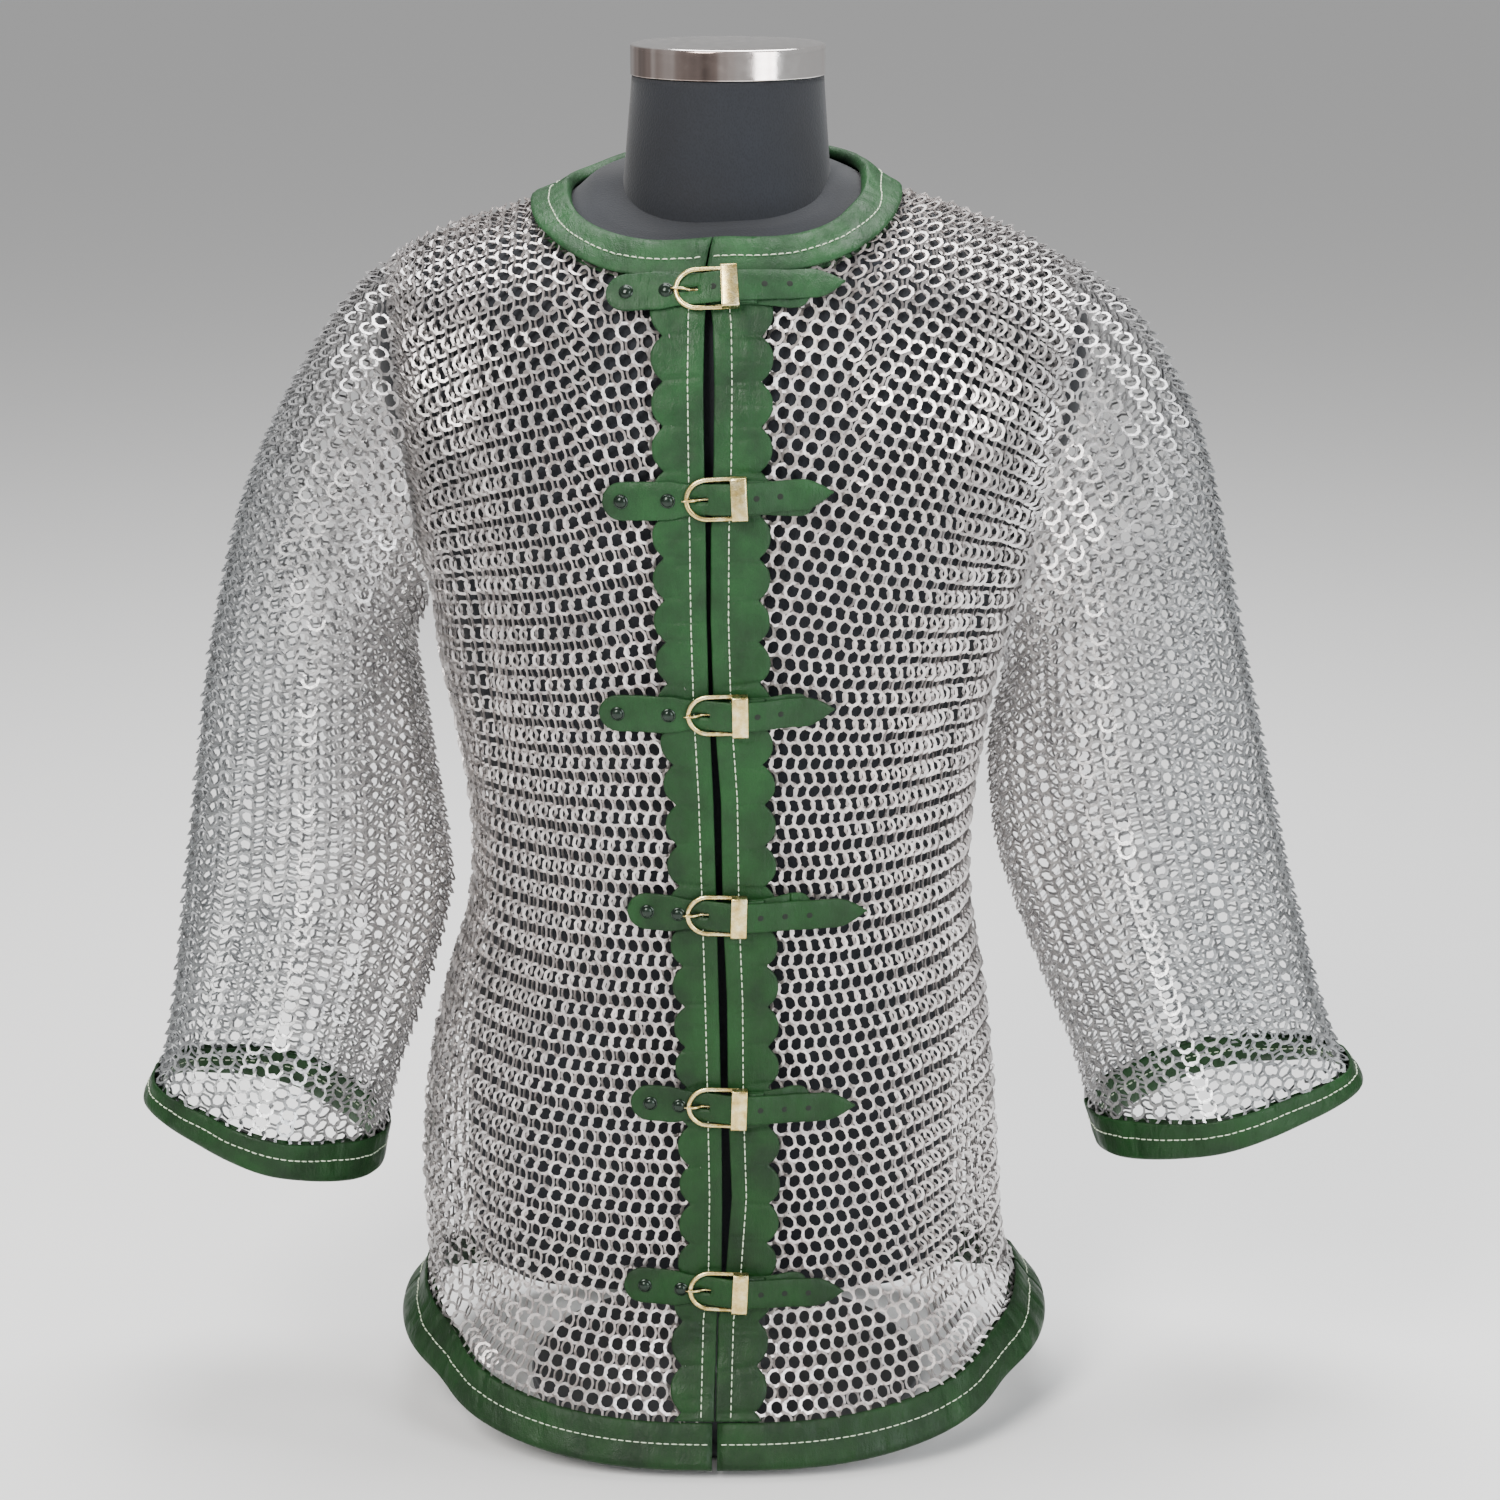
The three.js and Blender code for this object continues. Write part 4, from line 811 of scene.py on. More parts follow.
def torso_weave(side, face):
    """The places of the rings over a quarter of the torso, with their directions."""
    reach = torso_point(np.linspace(-math.pi / 2, -math.pi if side < 0 else 0, 200), CHEST)
    columns = int(round(np.linalg.norm(np.diff(reach, axis=0), axis=-1).sum() / RING["pitch"]))
    middle = 0 if side < 0 and face > 0 else 1
    half_columns = np.arange(middle, 2 * columns + 1) / 2
    share = half_columns / columns
    count = len(share)
    edge = "right" if side < 0 else "left"
    ridge = highest(
        lambda z: side * column_x(side, share, z) < side * torso_read(edge, z),
        np.full(count, SHOULDER), np.full(count, TOPMOST), 30,
    )
    near_hem = np.full(count, NEAR_HEM)
    foot = hem_height(face_angle(column_x(side, share, near_hem), near_hem, face))
    upper = 1 - np.linspace(0, 1, 130) ** 2
    lower = np.linspace(0, 1, 90)[1:]
    path_z = np.concatenate([
        ridge[None] + (WAIST - ridge[None]) * (1 - upper[:, None]),
        WAIST + (foot[None] - WAIST) * lower[:, None],
    ])
    path_x = column_x(side, share, path_z)
    arc = arc_length(torso_point(face_angle(path_x, path_z, face), path_z))
    to_waist = arc[len(upper) - 1]
    total = arc[-1]
    at_shoulder = np.abs(column_x(side, share, np.full(count, SHOULDER)))
    base = int(np.argmin(np.abs(at_shoulder - BASE_X)))
    rows_above = int(round(to_waist[base] / RING["rows"]))
    rows_below = int(round((WAIST - HEM["front"]) / RING["rows"]))
    z_rows = []
    for row in range(rows_above + rows_below + 1):
        if row <= rows_above:
            t = row / rows_above
            eased = 1.2 * t - 0.2 * t * t
            s = t * to_waist[base] - (to_waist[base] - to_waist) * eased
        else:
            s = to_waist + (total - to_waist) * (row - rows_above) / rows_below
        z = np.array([np.interp(s[c], arc[:, c], path_z[:, c]) for c in range(count)])
        if row <= rows_above:
            next_base = base + SLOPE_COLUMNS
            run = abs(path_x[SLOPE_SAMPLE, next_base] - path_x[SLOPE_SAMPLE, base])
            slope = min((z[base] - z[next_base]) / max(run, 1), STEEPEST)
            near = np.arange(count) < base
            x_now = column_x(side, share, np.full(count, min(z[base], 800.0)))
            z = np.where(near, z[base] + slope * (np.abs(x_now[base]) - np.abs(x_now)), z)
            z = np.minimum(z, TOPMOST)
        z_rows.append(z)
    z_rows = np.array(z_rows)
    angle = face_angle(column_x(side, share, z_rows), z_rows, face)
    place = torso_point(angle, z_rows)
    normal = torso_normal(angle, z_rows)
    ahead = np.roll(place, -1, axis=1)
    behind = np.roll(place, 1, axis=1)
    ahead[:, -1] = place[:, -1]
    behind[:, 0] = place[:, 0]
    direction = unit(ahead - behind)
    centre, along, out, lean = [], [], [], []
    for row in range(1 if face > 0 else 0, len(z_rows)):
        pick = slice((row + middle) % 2, None, 2)
        centre.append(place[row, pick])
        along.append(direction[row, pick])
        out.append(normal[row, pick])
        turned = (ON_TOP if row % 2 == 0 else -UNDERNEATH) * side * -face
        lean.append(np.full(len(centre[-1]), turned))
    return [np.concatenate(part) for part in (centre, along, out, lean)]


def band_reach(side, z):
    low, high = BAND_WIDTH[side]
    return low + (high - low) * z / BAND_HEIGHT


def opening_x(z):
    return np.interp(z, OPENING[:, 0], OPENING[:, 1])


def torso_rings(name, nodes, quarters, sides, keep_more=None):
    parts = [torso_weave(side, face) for side, face in quarters]
    centre, along, out, lean = [np.concatenate(p) for p in zip(*parts)]
    front = centre[:, 1] < 0
    keep = neck_measure(centre, COLLAR["side"] - UNDER_LEATHER, COLLAR["front"] - UNDER_LEATHER) > 1
    beside = np.abs(centre[:, 0] - opening_x(centre[:, 2]))
    side = np.where(centre[:, 0] < opening_x(centre[:, 2]), -1, 1)
    reach = np.where(side < 0, band_reach(-1, centre[:, 2]), band_reach(1, centre[:, 2]))
    keep &= ~front | (beside > reach - SCALLOP["depth"] - UNDER_LEATHER)
    angle = face_angle(centre[:, 0], centre[:, 2], np.where(front, -1, 1))
    keep &= centre[:, 2] > hem_height(angle) + HEM_BAND - UNDER_LEATHER
    if keep_more is not None:
        keep &= keep_more(centre)
    add_rings(name, centre[keep], along[keep], out[keep], lean[keep], nodes, sides)


SPLIT = 470
torso_rings("rings_front_right", ["mail_front_right"], [(-1, -1)], 9)
torso_rings("rings_front_left", ["mail_front_left"], [(1, -1)], 9)
torso_rings("rings_back_upper", ["mail_back"], [(-1, 1), (1, 1)], 7,
            lambda p: p[:, 2] > SPLIT)
torso_rings("rings_back_lower", [], [(-1, 1), (1, 1)], 7,
            lambda p: p[:, 2] <= SPLIT)


# The sleeves' weave: rows run along the arm


def sleeve_weave(table):
    last = len(table["mid"]) - 1
    at = np.linspace(last, 0, 150)
    fine = np.linspace(0, TURN, 241)
    arc = arc_length(sleeve_point(table, fine[None], at[:, None]), axis=1)
    rows = 2 * int(round(arc[:80, -1].mean() / RING["rows"] / 2))
    share = np.arange(rows) / rows
    angles = np.stack([np.interp(share, a / a[-1], fine) for a in arc])
    along_arc = arc_length(sleeve_point(table, angles, at[:, None]))
    centre, along, out, lean = [], [], [], []
    for row in range(rows):
        s = np.arange(1.2 + 0.5 * (row % 2), along_arc[-1, row] / RING["pitch"]) * RING["pitch"]
        here = np.interp(s, along_arc[:, row], at)
        angle = np.interp(s, along_arc[:, row], angles[:, row])
        place = sleeve_point(table, angle, here)
        next_here = np.interp(s + 2, along_arc[:, row], at)
        next_angle = np.interp(s + 2, along_arc[:, row], angles[:, row])
        direction = sleeve_point(table, next_angle, next_here) - place
        still = np.linalg.norm(direction, axis=1) < 0.1
        direction[still] = (0, 0, 1)
        centre.append(place)
        along.append(unit(direction))
        out.append(sleeve_normal(table, angle, here))
        lean.append(np.full(len(s), -ON_TOP if row % 2 == 0 else UNDERNEATH))
    return [np.concatenate(part) for part in (centre, along, out, lean)]


def inside_torso(p, margin):
    """True for points more than the margin under the torso's surface."""
    z = np.clip(p[:, 2], TORSO_LOW, TORSO_HIGH)
    right, left = torso_read("right", z) + margin, torso_read("left", z) - margin
    mid = torso_read("mid", z)
    front, back = torso_read("front", z) + margin, torso_read("back", z) - margin
    square = torso_read("square", z)
    across = np.abs((p[:, 0] - (right + left) / 2) / ((left - right) / 2))
    edge = np.where(p[:, 1] < mid, front - mid, back - mid)
    within = across**square + np.abs((p[:, 1] - mid) / edge) ** square < 1
    return within & (p[:, 2] < TORSO_HIGH)


def sleeve_rings(name, node, rows, side):
    """A sleeve's rings, where they lie past the armhole's seam and outside the torso."""
    table = sleeve_table(rows)
    centre, along, out, lean = sleeve_weave(table)
    beyond = side * centre[:, 0] > side * seam_x(side, centre[:, 2]) - 3
    low = side * centre[:, 0] > 150
    keep = beyond & low & ~inside_torso(centre, 5)
    add_rings(name, centre[keep], along[keep], out[keep], lean[keep], [node], 8)


sleeve_rings("rings_sleeve_right", "mail_sleeve_right", RIGHT_SLEEVE, -1)
sleeve_rings("rings_sleeve_left", "mail_sleeve_left", LEFT_SLEEVE, 1)


# The leather


def slow_waves(along, across, seed, height=0.35):
    """Uneven soft ripples in the leather."""
    draw = np.random.default_rng(seed)
    total = np.zeros(np.broadcast(along, across).shape)
    for _ in range(7):
        length = draw.uniform(14, 60)
        slant = draw.uniform(-0.6, 0.6)
        shift = draw.uniform(0, TURN)
        total = total + np.sin((along + slant * across) / length * TURN + shift)
    return height * total / 2.6


STITCH = {"pitch": 5.2, "length": 4.3, "radius": 0.45, "share": 0.30}


def stitch_parts(line, out):
    """Short threads laid along a line of points, with the surface's normals."""
    arc = arc_length(line)
    starts = np.arange(STITCH["pitch"] / 2, arc[-1] - STITCH["length"], STITCH["pitch"])
    shares = (0, 0.2, 0.8, 1)
    lifts = (-0.35, 0.2, 0.2, -0.35)
    sizes = (0.4, 1, 1, 0.4)
    turn = circle(5)
    parts = []
    for start in starts:
        at = start + np.array(shares) * STITCH["length"] * rng.uniform(0.9, 1.06)
        middle = np.stack([np.interp(at, arc, line[:, k]) for k in range(3)], axis=-1)
        normal = unit(np.stack([np.interp(at, arc, out[:, k]) for k in range(3)], axis=-1))
        run = unit(np.gradient(middle, axis=0))
        side = unit(np.cross(run, normal))
        sections = []
        for m, n, b, lift, size in zip(middle, normal, side, lifts, sizes):
            r = STITCH["radius"] * size
            sections.append(m + n * lift + r * (np.cos(turn)[:, None] * b + np.sin(turn)[:, None] * n))
        parts.append(closed_body(sections))
    return parts


def add_stitches(name, lines):
    """All the stitching of one piece of leather, riding with it."""
    parts = [part for line, out in lines for part in stitch_parts(line, out)]
    points, faces, _ = join_parts(parts)
    obj = add_mesh(name, points, faces, [THREAD])
    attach(obj, "root")
    return obj


# A folded strip's section: share of its width, height over the mail, and reach past the edge
BINDING_SECTION = (
    (1.0, SLOT + 0.9, 0),
    (0.985, BAND_TOP - 0.5, 0),
    (0.93, BAND_TOP, 0),
    (0.8, BAND_TOP, 0),
    (0.65, BAND_TOP, 0),
    (0.5, BAND_TOP, 0),
    (0.35, BAND_TOP, 0),
    (0.2, BAND_TOP, 0),
    (0.08, BAND_TOP, 0.2),
    (0.0, BAND_TOP - 0.3, 1.2),
    (0.0, BAND_TOP - 2, 2.3),
    (0.0, -MAIL / 2, 2.6),
    (0.0, INNER_LAYER + 1.6, 2.3),
    (0.0, INNER_LAYER + 0.3, 1.2),
    (0.15, INNER_LAYER, 0),
    (0.5, INNER_LAYER, 0),
    (0.9, INNER_LAYER, 0),
    (1.0, INNER_LAYER + 0.5, 0),
    (1.0, -MAIL - SLOT, 0),
    (0.5, -MAIL - SLOT, 0),
    (0.06, -MAIL - SLOT, 0),
    (0.06, SLOT, 0),
    (0.5, SLOT, 0),
    (1.0, SLOT, 0),
)
STITCH_LINE = 0.5
CREASE_SPACING = 13
TROUGH_WIDTH = 2.2


def binding(name, nodes, surface_at, edge_row, top_row, count, seed, closed):
    """A strip folded over an edge, from its outer top round the edge to its inner top.

    surface_at(share, across, lift) gives points: across is 0 at the edge and 1 at the band's top.
    """
    share = np.linspace(0, 1, count, endpoint=not closed)
    across, lifts, beyond = np.array(BINDING_SECTION).T
    along = share * edge_row
    wave = slow_waves(along[:, None], across[None] * top_row, seed)
    outer = (lifts > 0.9)[None] * (across > 0.02)[None]
    inner = (lifts < INNER_LAYER + 0.4)[None]
    extra = np.where(outer, np.clip(wave, -0.5, 0.7), 0)
    trough = np.exp(-(((across[None] - STITCH_LINE) * top_row / TROUGH_WIDTH) ** 2))
    draw = np.random.default_rng(seed + 90)
    for _ in range(int(edge_row / CREASE_SPACING)):
        at, slant = draw.uniform(0, edge_row), draw.uniform(-4, 4)
        away = np.abs(along[:, None] - at - slant * across[None])
        away = np.minimum(away, edge_row - away) if closed else away
        dip = draw.uniform(0.4, 1.1) * np.exp(-((away / draw.uniform(1.2, 2.4)) ** 2))
        extra = extra - np.where(outer, dip, 0)
    extra = extra - np.where(outer, 0.55 * trough, 0) + np.where(inner, 0.2 * wave, 0)
    sections = surface_at(share[:, None], across[None] - beyond[None] / top_row, lifts[None] + extra)
    points, faces = closed_body(sections, closed)
    obj = add_mesh(name, points, faces, [GREEN])
    settle(obj, "leather", *nodes)
    stitch_lines = []
    follow = extra[:, int(np.argmin(np.abs(across - STITCH_LINE)))]
    for lift, flip in ((BAND_TOP + 0.2 + follow, 1), (np.full(count, INNER_LAYER + 0.05), -1)):
        line = surface_at(share, np.full(count, STITCH_LINE), lift)
        above = surface_at(share, np.full(count, STITCH_LINE), lift + 1.0)
        if closed:
            line, above = np.vstack([line, line[:1]]), np.vstack([above, above[:1]])
        stitch_lines.append((line, unit(above - line) * flip))
    thread = add_stitches(name + "_stitches", stitch_lines)


def torso_band(edge, top):
    """The surface of a band round the torso: its height at each angle runs from edge to top."""
    def surface_for(from_angle, to_angle):
        def at(share, across, lift):
            share, across, lift = np.broadcast_arrays(share, across, lift)
            angle = from_angle + (to_angle - from_angle) * share
            low, high = edge(angle), top(angle)
            return torso_at(angle, low + (high - low) * across, lift)
        return at

    return surface_for


collar_surface = torso_band(
    lambda a: neckline_height(a, 0, 0),
    lambda a: neckline_height(a, COLLAR["side"], COLLAR["front"]),
)
COLLAR_LEVEL = 815.0
HEM_LEVEL = 20.0
HEM_OPENING_X = -7.0
END_GAP = 0.004

opening_at_collar = opening_x(COLLAR_LEVEL)
level = np.array(COLLAR_LEVEL)
collar_start = float(face_angle(np.array(opening_at_collar + 0.7), level, -1))
collar_end = float(face_angle(np.array(opening_at_collar - 0.7), level, -1)) + TURN
binding("collar_leather", ["collar"], collar_surface(collar_start, collar_end), 620, 24, 220, 3, False)

hem_surface = torso_band(hem_height, lambda a: hem_height(a) + HEM_BAND)
front_gap = float(face_angle(np.array(HEM_OPENING_X), np.array(HEM_LEVEL), -1))
binding("hem_leather_right", ["hem_band_right"], hem_surface(-math.pi + END_GAP, front_gap - END_GAP),
        330, 26, 110, 5, False)
binding("hem_leather_left", ["hem_band_left"], hem_surface(front_gap + END_GAP, -END_GAP),
        330, 26, 110, 6, False)
binding("hem_leather_back", ["hem_band_back"], hem_surface(END_GAP, math.pi - END_GAP),
        630, 26, 210, 7, False)


def cuff(name, node, rows, seed):
    """The binding of a sleeve's open end."""
    table = sleeve_table(rows)
    last = len(rows) - 1

    def at(share, across, lift):
        share, across, lift = np.broadcast_arrays(share, across, lift)
        angle = share * TURN
        edge = sleeve_at(table, angle, np.full(angle.shape, last - 0.001), lift)
        top = sleeve_at(table, angle, np.full(angle.shape, last - 1.0), lift)
        return edge + (top - edge) * across[..., None]

    binding(name, [node], at, 500, 15, 170, seed, True)


cuff("cuff_leather_right", "cuff_band_right", RIGHT_SLEEVE, 8)
cuff("cuff_leather_left", "cuff_band_left", LEFT_SLEEVE, 9)


def band_wrinkles(z, across, seed):
    """Cross creases: one runs in from most notches, and finer ones lie between them."""
    draw = np.random.default_rng(seed + 70)
    total = np.zeros((len(z), len(across)))
    notches = np.arange(SCALLOP["pitch"] / 2, z[-1], SCALLOP["pitch"])
    marks = [
        (n + draw.uniform(-2, 2), draw.uniform(0.1, 0.55), 1.05, draw.uniform(0.8, 1.4), 1.35)
        for n in notches
    ]
    for _ in range(46):
        at = draw.uniform(z[0], z[-1])
        start, end = draw.uniform(0.0, 0.6), draw.uniform(0.45, 0.8)
        marks.append((at, start, end, draw.uniform(0.4, 0.9), 1.0))
    for at, start, end, depth, width in marks:
        slant = draw.uniform(-5, 5)
        line = at + slant * (across - 0.5)
        reach = smoothstep(across, start - 0.2, start + 0.1) * (1 - smoothstep(across, end - 0.1, end + 0.2))
        total = total + depth * reach[None] * np.exp(-(((z[:, None] - line[None]) / width) ** 2))
    return np.clip(total, 0, 1.5)


# A front band's section: share of its width, and height over the mail
FRONT_SECTION = (
    (0.0, SLOT),
    (0.0, BAND_TOP - 0.5),
    (0.03, BAND_TOP),
    (0.15, BAND_TOP),
    (0.24, BAND_TOP - 0.15),
    (0.30, BAND_TOP - 0.6),
    (0.36, BAND_TOP - 0.15),
    (0.55, BAND_TOP),
    (0.75, BAND_TOP),
    (0.93, BAND_TOP),
    (0.985, BAND_TOP - 0.2),
    (1.0, BAND_TOP - 0.8),
    (1.0, SLOT),
    (0.6, SLOT),
    (0.3, SLOT),
)
OUTSIDE = 1.2


def front_band(name, node, side, seed):
    """The scalloped band beside the opening."""
    top_z = neckline_height(np.array([-math.pi / 2]), COLLAR["side"] + SLOT, COLLAR["front"] + SLOT)[0]
    z = np.linspace(hem_height(-math.pi / 2) + HEM_BAND + 0.6, top_z, 560)
    lobe = ((z - SCALLOP["pitch"] / 2) / SCALLOP["pitch"]) % 1
    notch = np.abs(2 * lobe - 1) ** 2.3
    width = np.interp(z, OPENING[:, 0], OPENING[:, 2])
    full = band_reach(side, z)
    outer = full - SCALLOP["depth"] * notch
    across, lifts = np.array(FRONT_SECTION).T
    plain = width[:, None] / 2 + (full - width / 2)[:, None] * np.minimum(across, 0.5)[None]
    scalloped = (outer[:, None] - plain) * np.clip((across - 0.5) * 2, 0, 1)[None]
    x = opening_x(z)[:, None] + side * (plain + scalloped)
    zz = np.repeat(z[:, None], len(across), axis=1)
    wave = slow_waves(z[:, None], across[None] * 38, seed, 0.45)
    shows = lifts[None] > OUTSIDE
    lift = lifts[None] + np.where(shows, np.clip(wave, -0.6, 0.9), 0)
    lift = lift - band_wrinkles(z, across, seed) * shows
    draw = np.random.default_rng(seed + 50)
    scallop = ((z - SCALLOP["pitch"] / 2) // SCALLOP["pitch"]).astype(int) + 1
    curl = draw.uniform(0, 0.9, 40)[scallop]
    lift = lift + (curl * (1 - notch))[:, None] * np.clip(across[None] - 0.6, 0, 1) * 2
    sections = torso_at(face_angle(x, zz, -1), zz, lift)
    points, faces = closed_body(sections)
    obj = add_mesh(name, points, faces, [GREEN])
    settle(obj, "leather", node)
    stitch_column = int(np.argmin(np.abs(across - STITCH["share"])))
    stitch_x = opening_x(z) + side * (width / 2 + (full - width / 2) * STITCH["share"])
    angle = face_angle(stitch_x, z, -1)
    line = torso_at(angle, z, lift[:, stitch_column] + 0.25)
    thread = add_stitches(name + "_stitches", [(line, torso_normal(angle, z))])


front_band("band_leather_right", "front_band_right", -1, 21)
front_band("band_leather_left", "front_band_left", 1, 22)


# The straps and buckles, each set in its own frame


def strap_place(row):
    z0, x0, slope, lift_by = row[:4]
    slant = math.atan(slope)

    def middle(along):
        x = x0 + along * math.cos(slant)
        z = z0 + along * math.sin(slant)
        return torso_point(face_angle(x, z, -1), z)

    def place(along, across, lift):
        along, across, lift = np.broadcast_arrays(*(np.asarray(v, float) for v in (along, across, lift)))
        here = middle(along)
        forward = unit(middle(along + 2) - middle(along - 2))
        out = torso_normal(face_angle(here[..., 0], here[..., 2], -1), here[..., 2])
        up = np.cross(out, forward)
        return here + out * (lift + lift_by)[..., None] + up * across[..., None]

    return place


def reach_of_band(row, side):
    """How far a front band runs from the strap's own middle."""
    z, x = row[0], row[1]
    return band_reach(side, z) + side * (float(opening_x(z)) - x) + 1.5


def strap_lift(row, along):
    tab_edge, tip_edge = -reach_of_band(row, -1), reach_of_band(row, 1)
    chape, tip = row[6], row[5]
    stops = (
        (-95, ON_MAIL), (tab_edge - STEP - 1, ON_MAIL), (tab_edge, STRAP_BASE), (-13.5, STRAP_BASE),
        (7, OVER_FOLD), (17, OVER_FOLD), (30, CHAPE_TOP + GAP + STRAP["chape_thick"] + 0.6),
        (tip_edge, CHAPE_TOP + 0.7), (tip_edge + STEP + 1, ON_MAIL + STRAP["chape_thick"] + 0.7),
        (chape, ON_MAIL + STRAP["chape_thick"] + 0.5), (chape + 6, ON_MAIL + 0.8), (tip + 1, ON_MAIL),
    )
    keys, values = zip(*stops)
    return np.interp(along, keys, values)


def strap_half(row, along):
    tab, tip = row[4], row[5]
    half = STRAP["tab_half"] + (STRAP["half"] - STRAP["tab_half"]) * smoothstep(along, -34, -18)
    from_tab = along - tab
    from_tip = np.clip((along - (tip - 20)) / 20, 0, 1)
    rounded = np.sqrt(np.clip(half**2 - np.clip(half - from_tab, 0, None) ** 2, 0.3, None))
    return np.where(from_tab < half, rounded, np.maximum(half * (1 - from_tip**1.7), 0.5))


# Round a strip's section, and the corners of a hole in its middle as places in that round
STRIP_RING = np.array((
    (-1, 0.25), (-1, 0.75), (-0.93, 1), (-0.45, 1), (-0.16, 1), (0.16, 1), (0.45, 1), (0.93, 1), (1, 0.75),
    (1, 0.25), (0.93, 0), (0.16, 0), (-0.16, 0), (-0.93, 0),
))
HOLE_CORNERS = (4, 5, 11, 12)
BOW = 0.35


def strip_sections(place, along, half, base, thick):
    """A flat strip's sections: bevelled edges, and a slightly raised middle."""
    across, level = STRIP_RING.T
    raised = BOW * (1 - across**2) * (level > 0.9)
    return place(along[:, None], half[:, None] * across, base[:, None] + thick * level + raised)


def pierced(faces, first, last):
    """Cuts the prong's hole through a strip, between two of its sections."""
    grid, start_cap, end_cap = faces
    count = len(STRIP_RING)
    top_left, top_right, foot_right, foot_left = HOLE_CORNERS
    row, column = np.divmod(grid[:, 0], count)
    within = (row >= first) & (row < last) & ((column == top_left) | (column == foot_right))
    r = np.arange(first, last) * count
    after = r + count
    right_wall = np.stack([r + top_right, after + top_right, after + foot_right, r + foot_right], axis=-1)
    left_wall = np.stack([after + top_left, r + top_left, r + foot_left, after + foot_left], axis=-1)
    ends = np.array([
        [first * count + k for k in HOLE_CORNERS],
        [last * count + k for k in (top_right, top_left, foot_left, foot_right)],
    ])
    return [np.concatenate([grid[~within], right_wall, left_wall, ends]), start_cap, end_cap]


def strap_right(row, number):
    """The billet, with the prong's hole through it and its spare holes marked."""
    place = strap_place(row)
    tab, tip = row[4], row[5]
    ends = tab + np.array([0, 0.5, 1.5, 3, 5, 8, 12])
    along = np.concatenate([ends, np.arange(tab + 14, tip - 21, 2.5), np.linspace(tip - 20, tip, 14)])
    along = along[np.min(np.abs(along[:, None] - np.array(PRONG_HOLE)), axis=1) > 0.8]
    along = np.unique(np.concatenate([along, PRONG_HOLE]))
    half = strap_half(row, along)
    base = strap_lift(row, along)
    base = np.convolve(np.pad(base, 2, mode="edge"), [0.1, 0.2, 0.4, 0.2, 0.1], mode="valid")
    base = np.maximum(base, strap_lift(row, along) - 0.15)
    strip_points, strip_faces = tube_grid(strip_sections(place, along, half, base, STRAP["thick"]))
    first, last = (int(np.argmin(np.abs(along - edge))) for edge in PRONG_HOLE)
    strip_faces = pierced(strip_faces, first, last)
    parts = [(strip_points, turned_out(strip_points, strip_faces))]
    turn = circle(14)
    for hole in HOLES[number - 1]:
        run = hole + HOLE_RADIUS * np.cos(turn)
        across = HOLE_RADIUS * np.sin(turn)
        level = np.interp(run, along, base) + STRAP["thick"] + 0.36
        rim = place(run, across, level)
        core = place(hole + (run - hole) * 0.8, across * 0.8, level + 0.06)
        foot = place(run, across, level - 0.6)
        parts.append(closed_body(np.stack([foot, rim, core])))
    points, faces, counts = join_parts(parts)
    which = np.repeat([0] + [1] * (len(parts) - 1), counts)
    obj = add_mesh(f"billet_{number}", points, faces, [GREEN, HOLE], face_material=which)
    settle(obj, "leather", f"strap_right_{number}")


def strap_left(row, number):
    """The chape, bent round the buckle's bar."""
    place = strap_place(row)
    band = reach_of_band(row, 1)
    chape, rise = row[6], row[7]
    fold = WIRE_RADIUS + GAP + STRAP["chape_thick"] / 2
    middle = STRAP["chape_thick"] / 2
    turn = np.linspace(-0.25, -0.75, 9) * TURN
    bend = np.stack([BAR + fold * np.cos(turn), WIRE_LEVEL + fold * np.sin(turn)], axis=-1)
    route = np.concatenate([
        [(chape, ON_MAIL + middle), (chape - 6, ON_MAIL + middle), (band + STEP, ON_MAIL + middle),
         (band, CHAPE_BASE + middle), (BAR * 2, CHAPE_BASE + middle)],
        bend,
        [(BAR + 8, OVER_FOLD - 1.3 - middle), (28, CHAPE_TOP + GAP + middle)],
    ])
    arc = arc_length(route)
    at = np.unique(np.concatenate([arc, np.linspace(0, arc[-1], 60)]))
    line = np.stack([np.interp(at, arc, route[:, k]) for k in range(2)], axis=-1)
    run = unit(np.gradient(line, axis=0))
    normal = np.stack([-run[:, 1], run[:, 0]], axis=-1) * middle
    sections = []
    for (a, h), (na, nh) in zip(line, normal):
        turned = rise * smoothstep(a, 20, 50)
        half = STRAP["chape_half"] * math.sqrt(max(1 - max(1 - (chape - a) / 9, 0) ** 2, 0.04))
        across = np.array([-half, -half + 0.5, half - 0.5, half, half, half - 0.5, -half + 0.5, -half])
        side = np.array([0.5, 1, 1, 0.5, -0.5, -1, -1, -0.5])
        sections.append(place(a + na * side, across + turned, h + nh * side))
    points, faces = closed_body(sections)
    obj = add_mesh(f"chape_{number}", points, faces, [GREEN])
    settle(obj, "leather", f"strap_left_{number}")


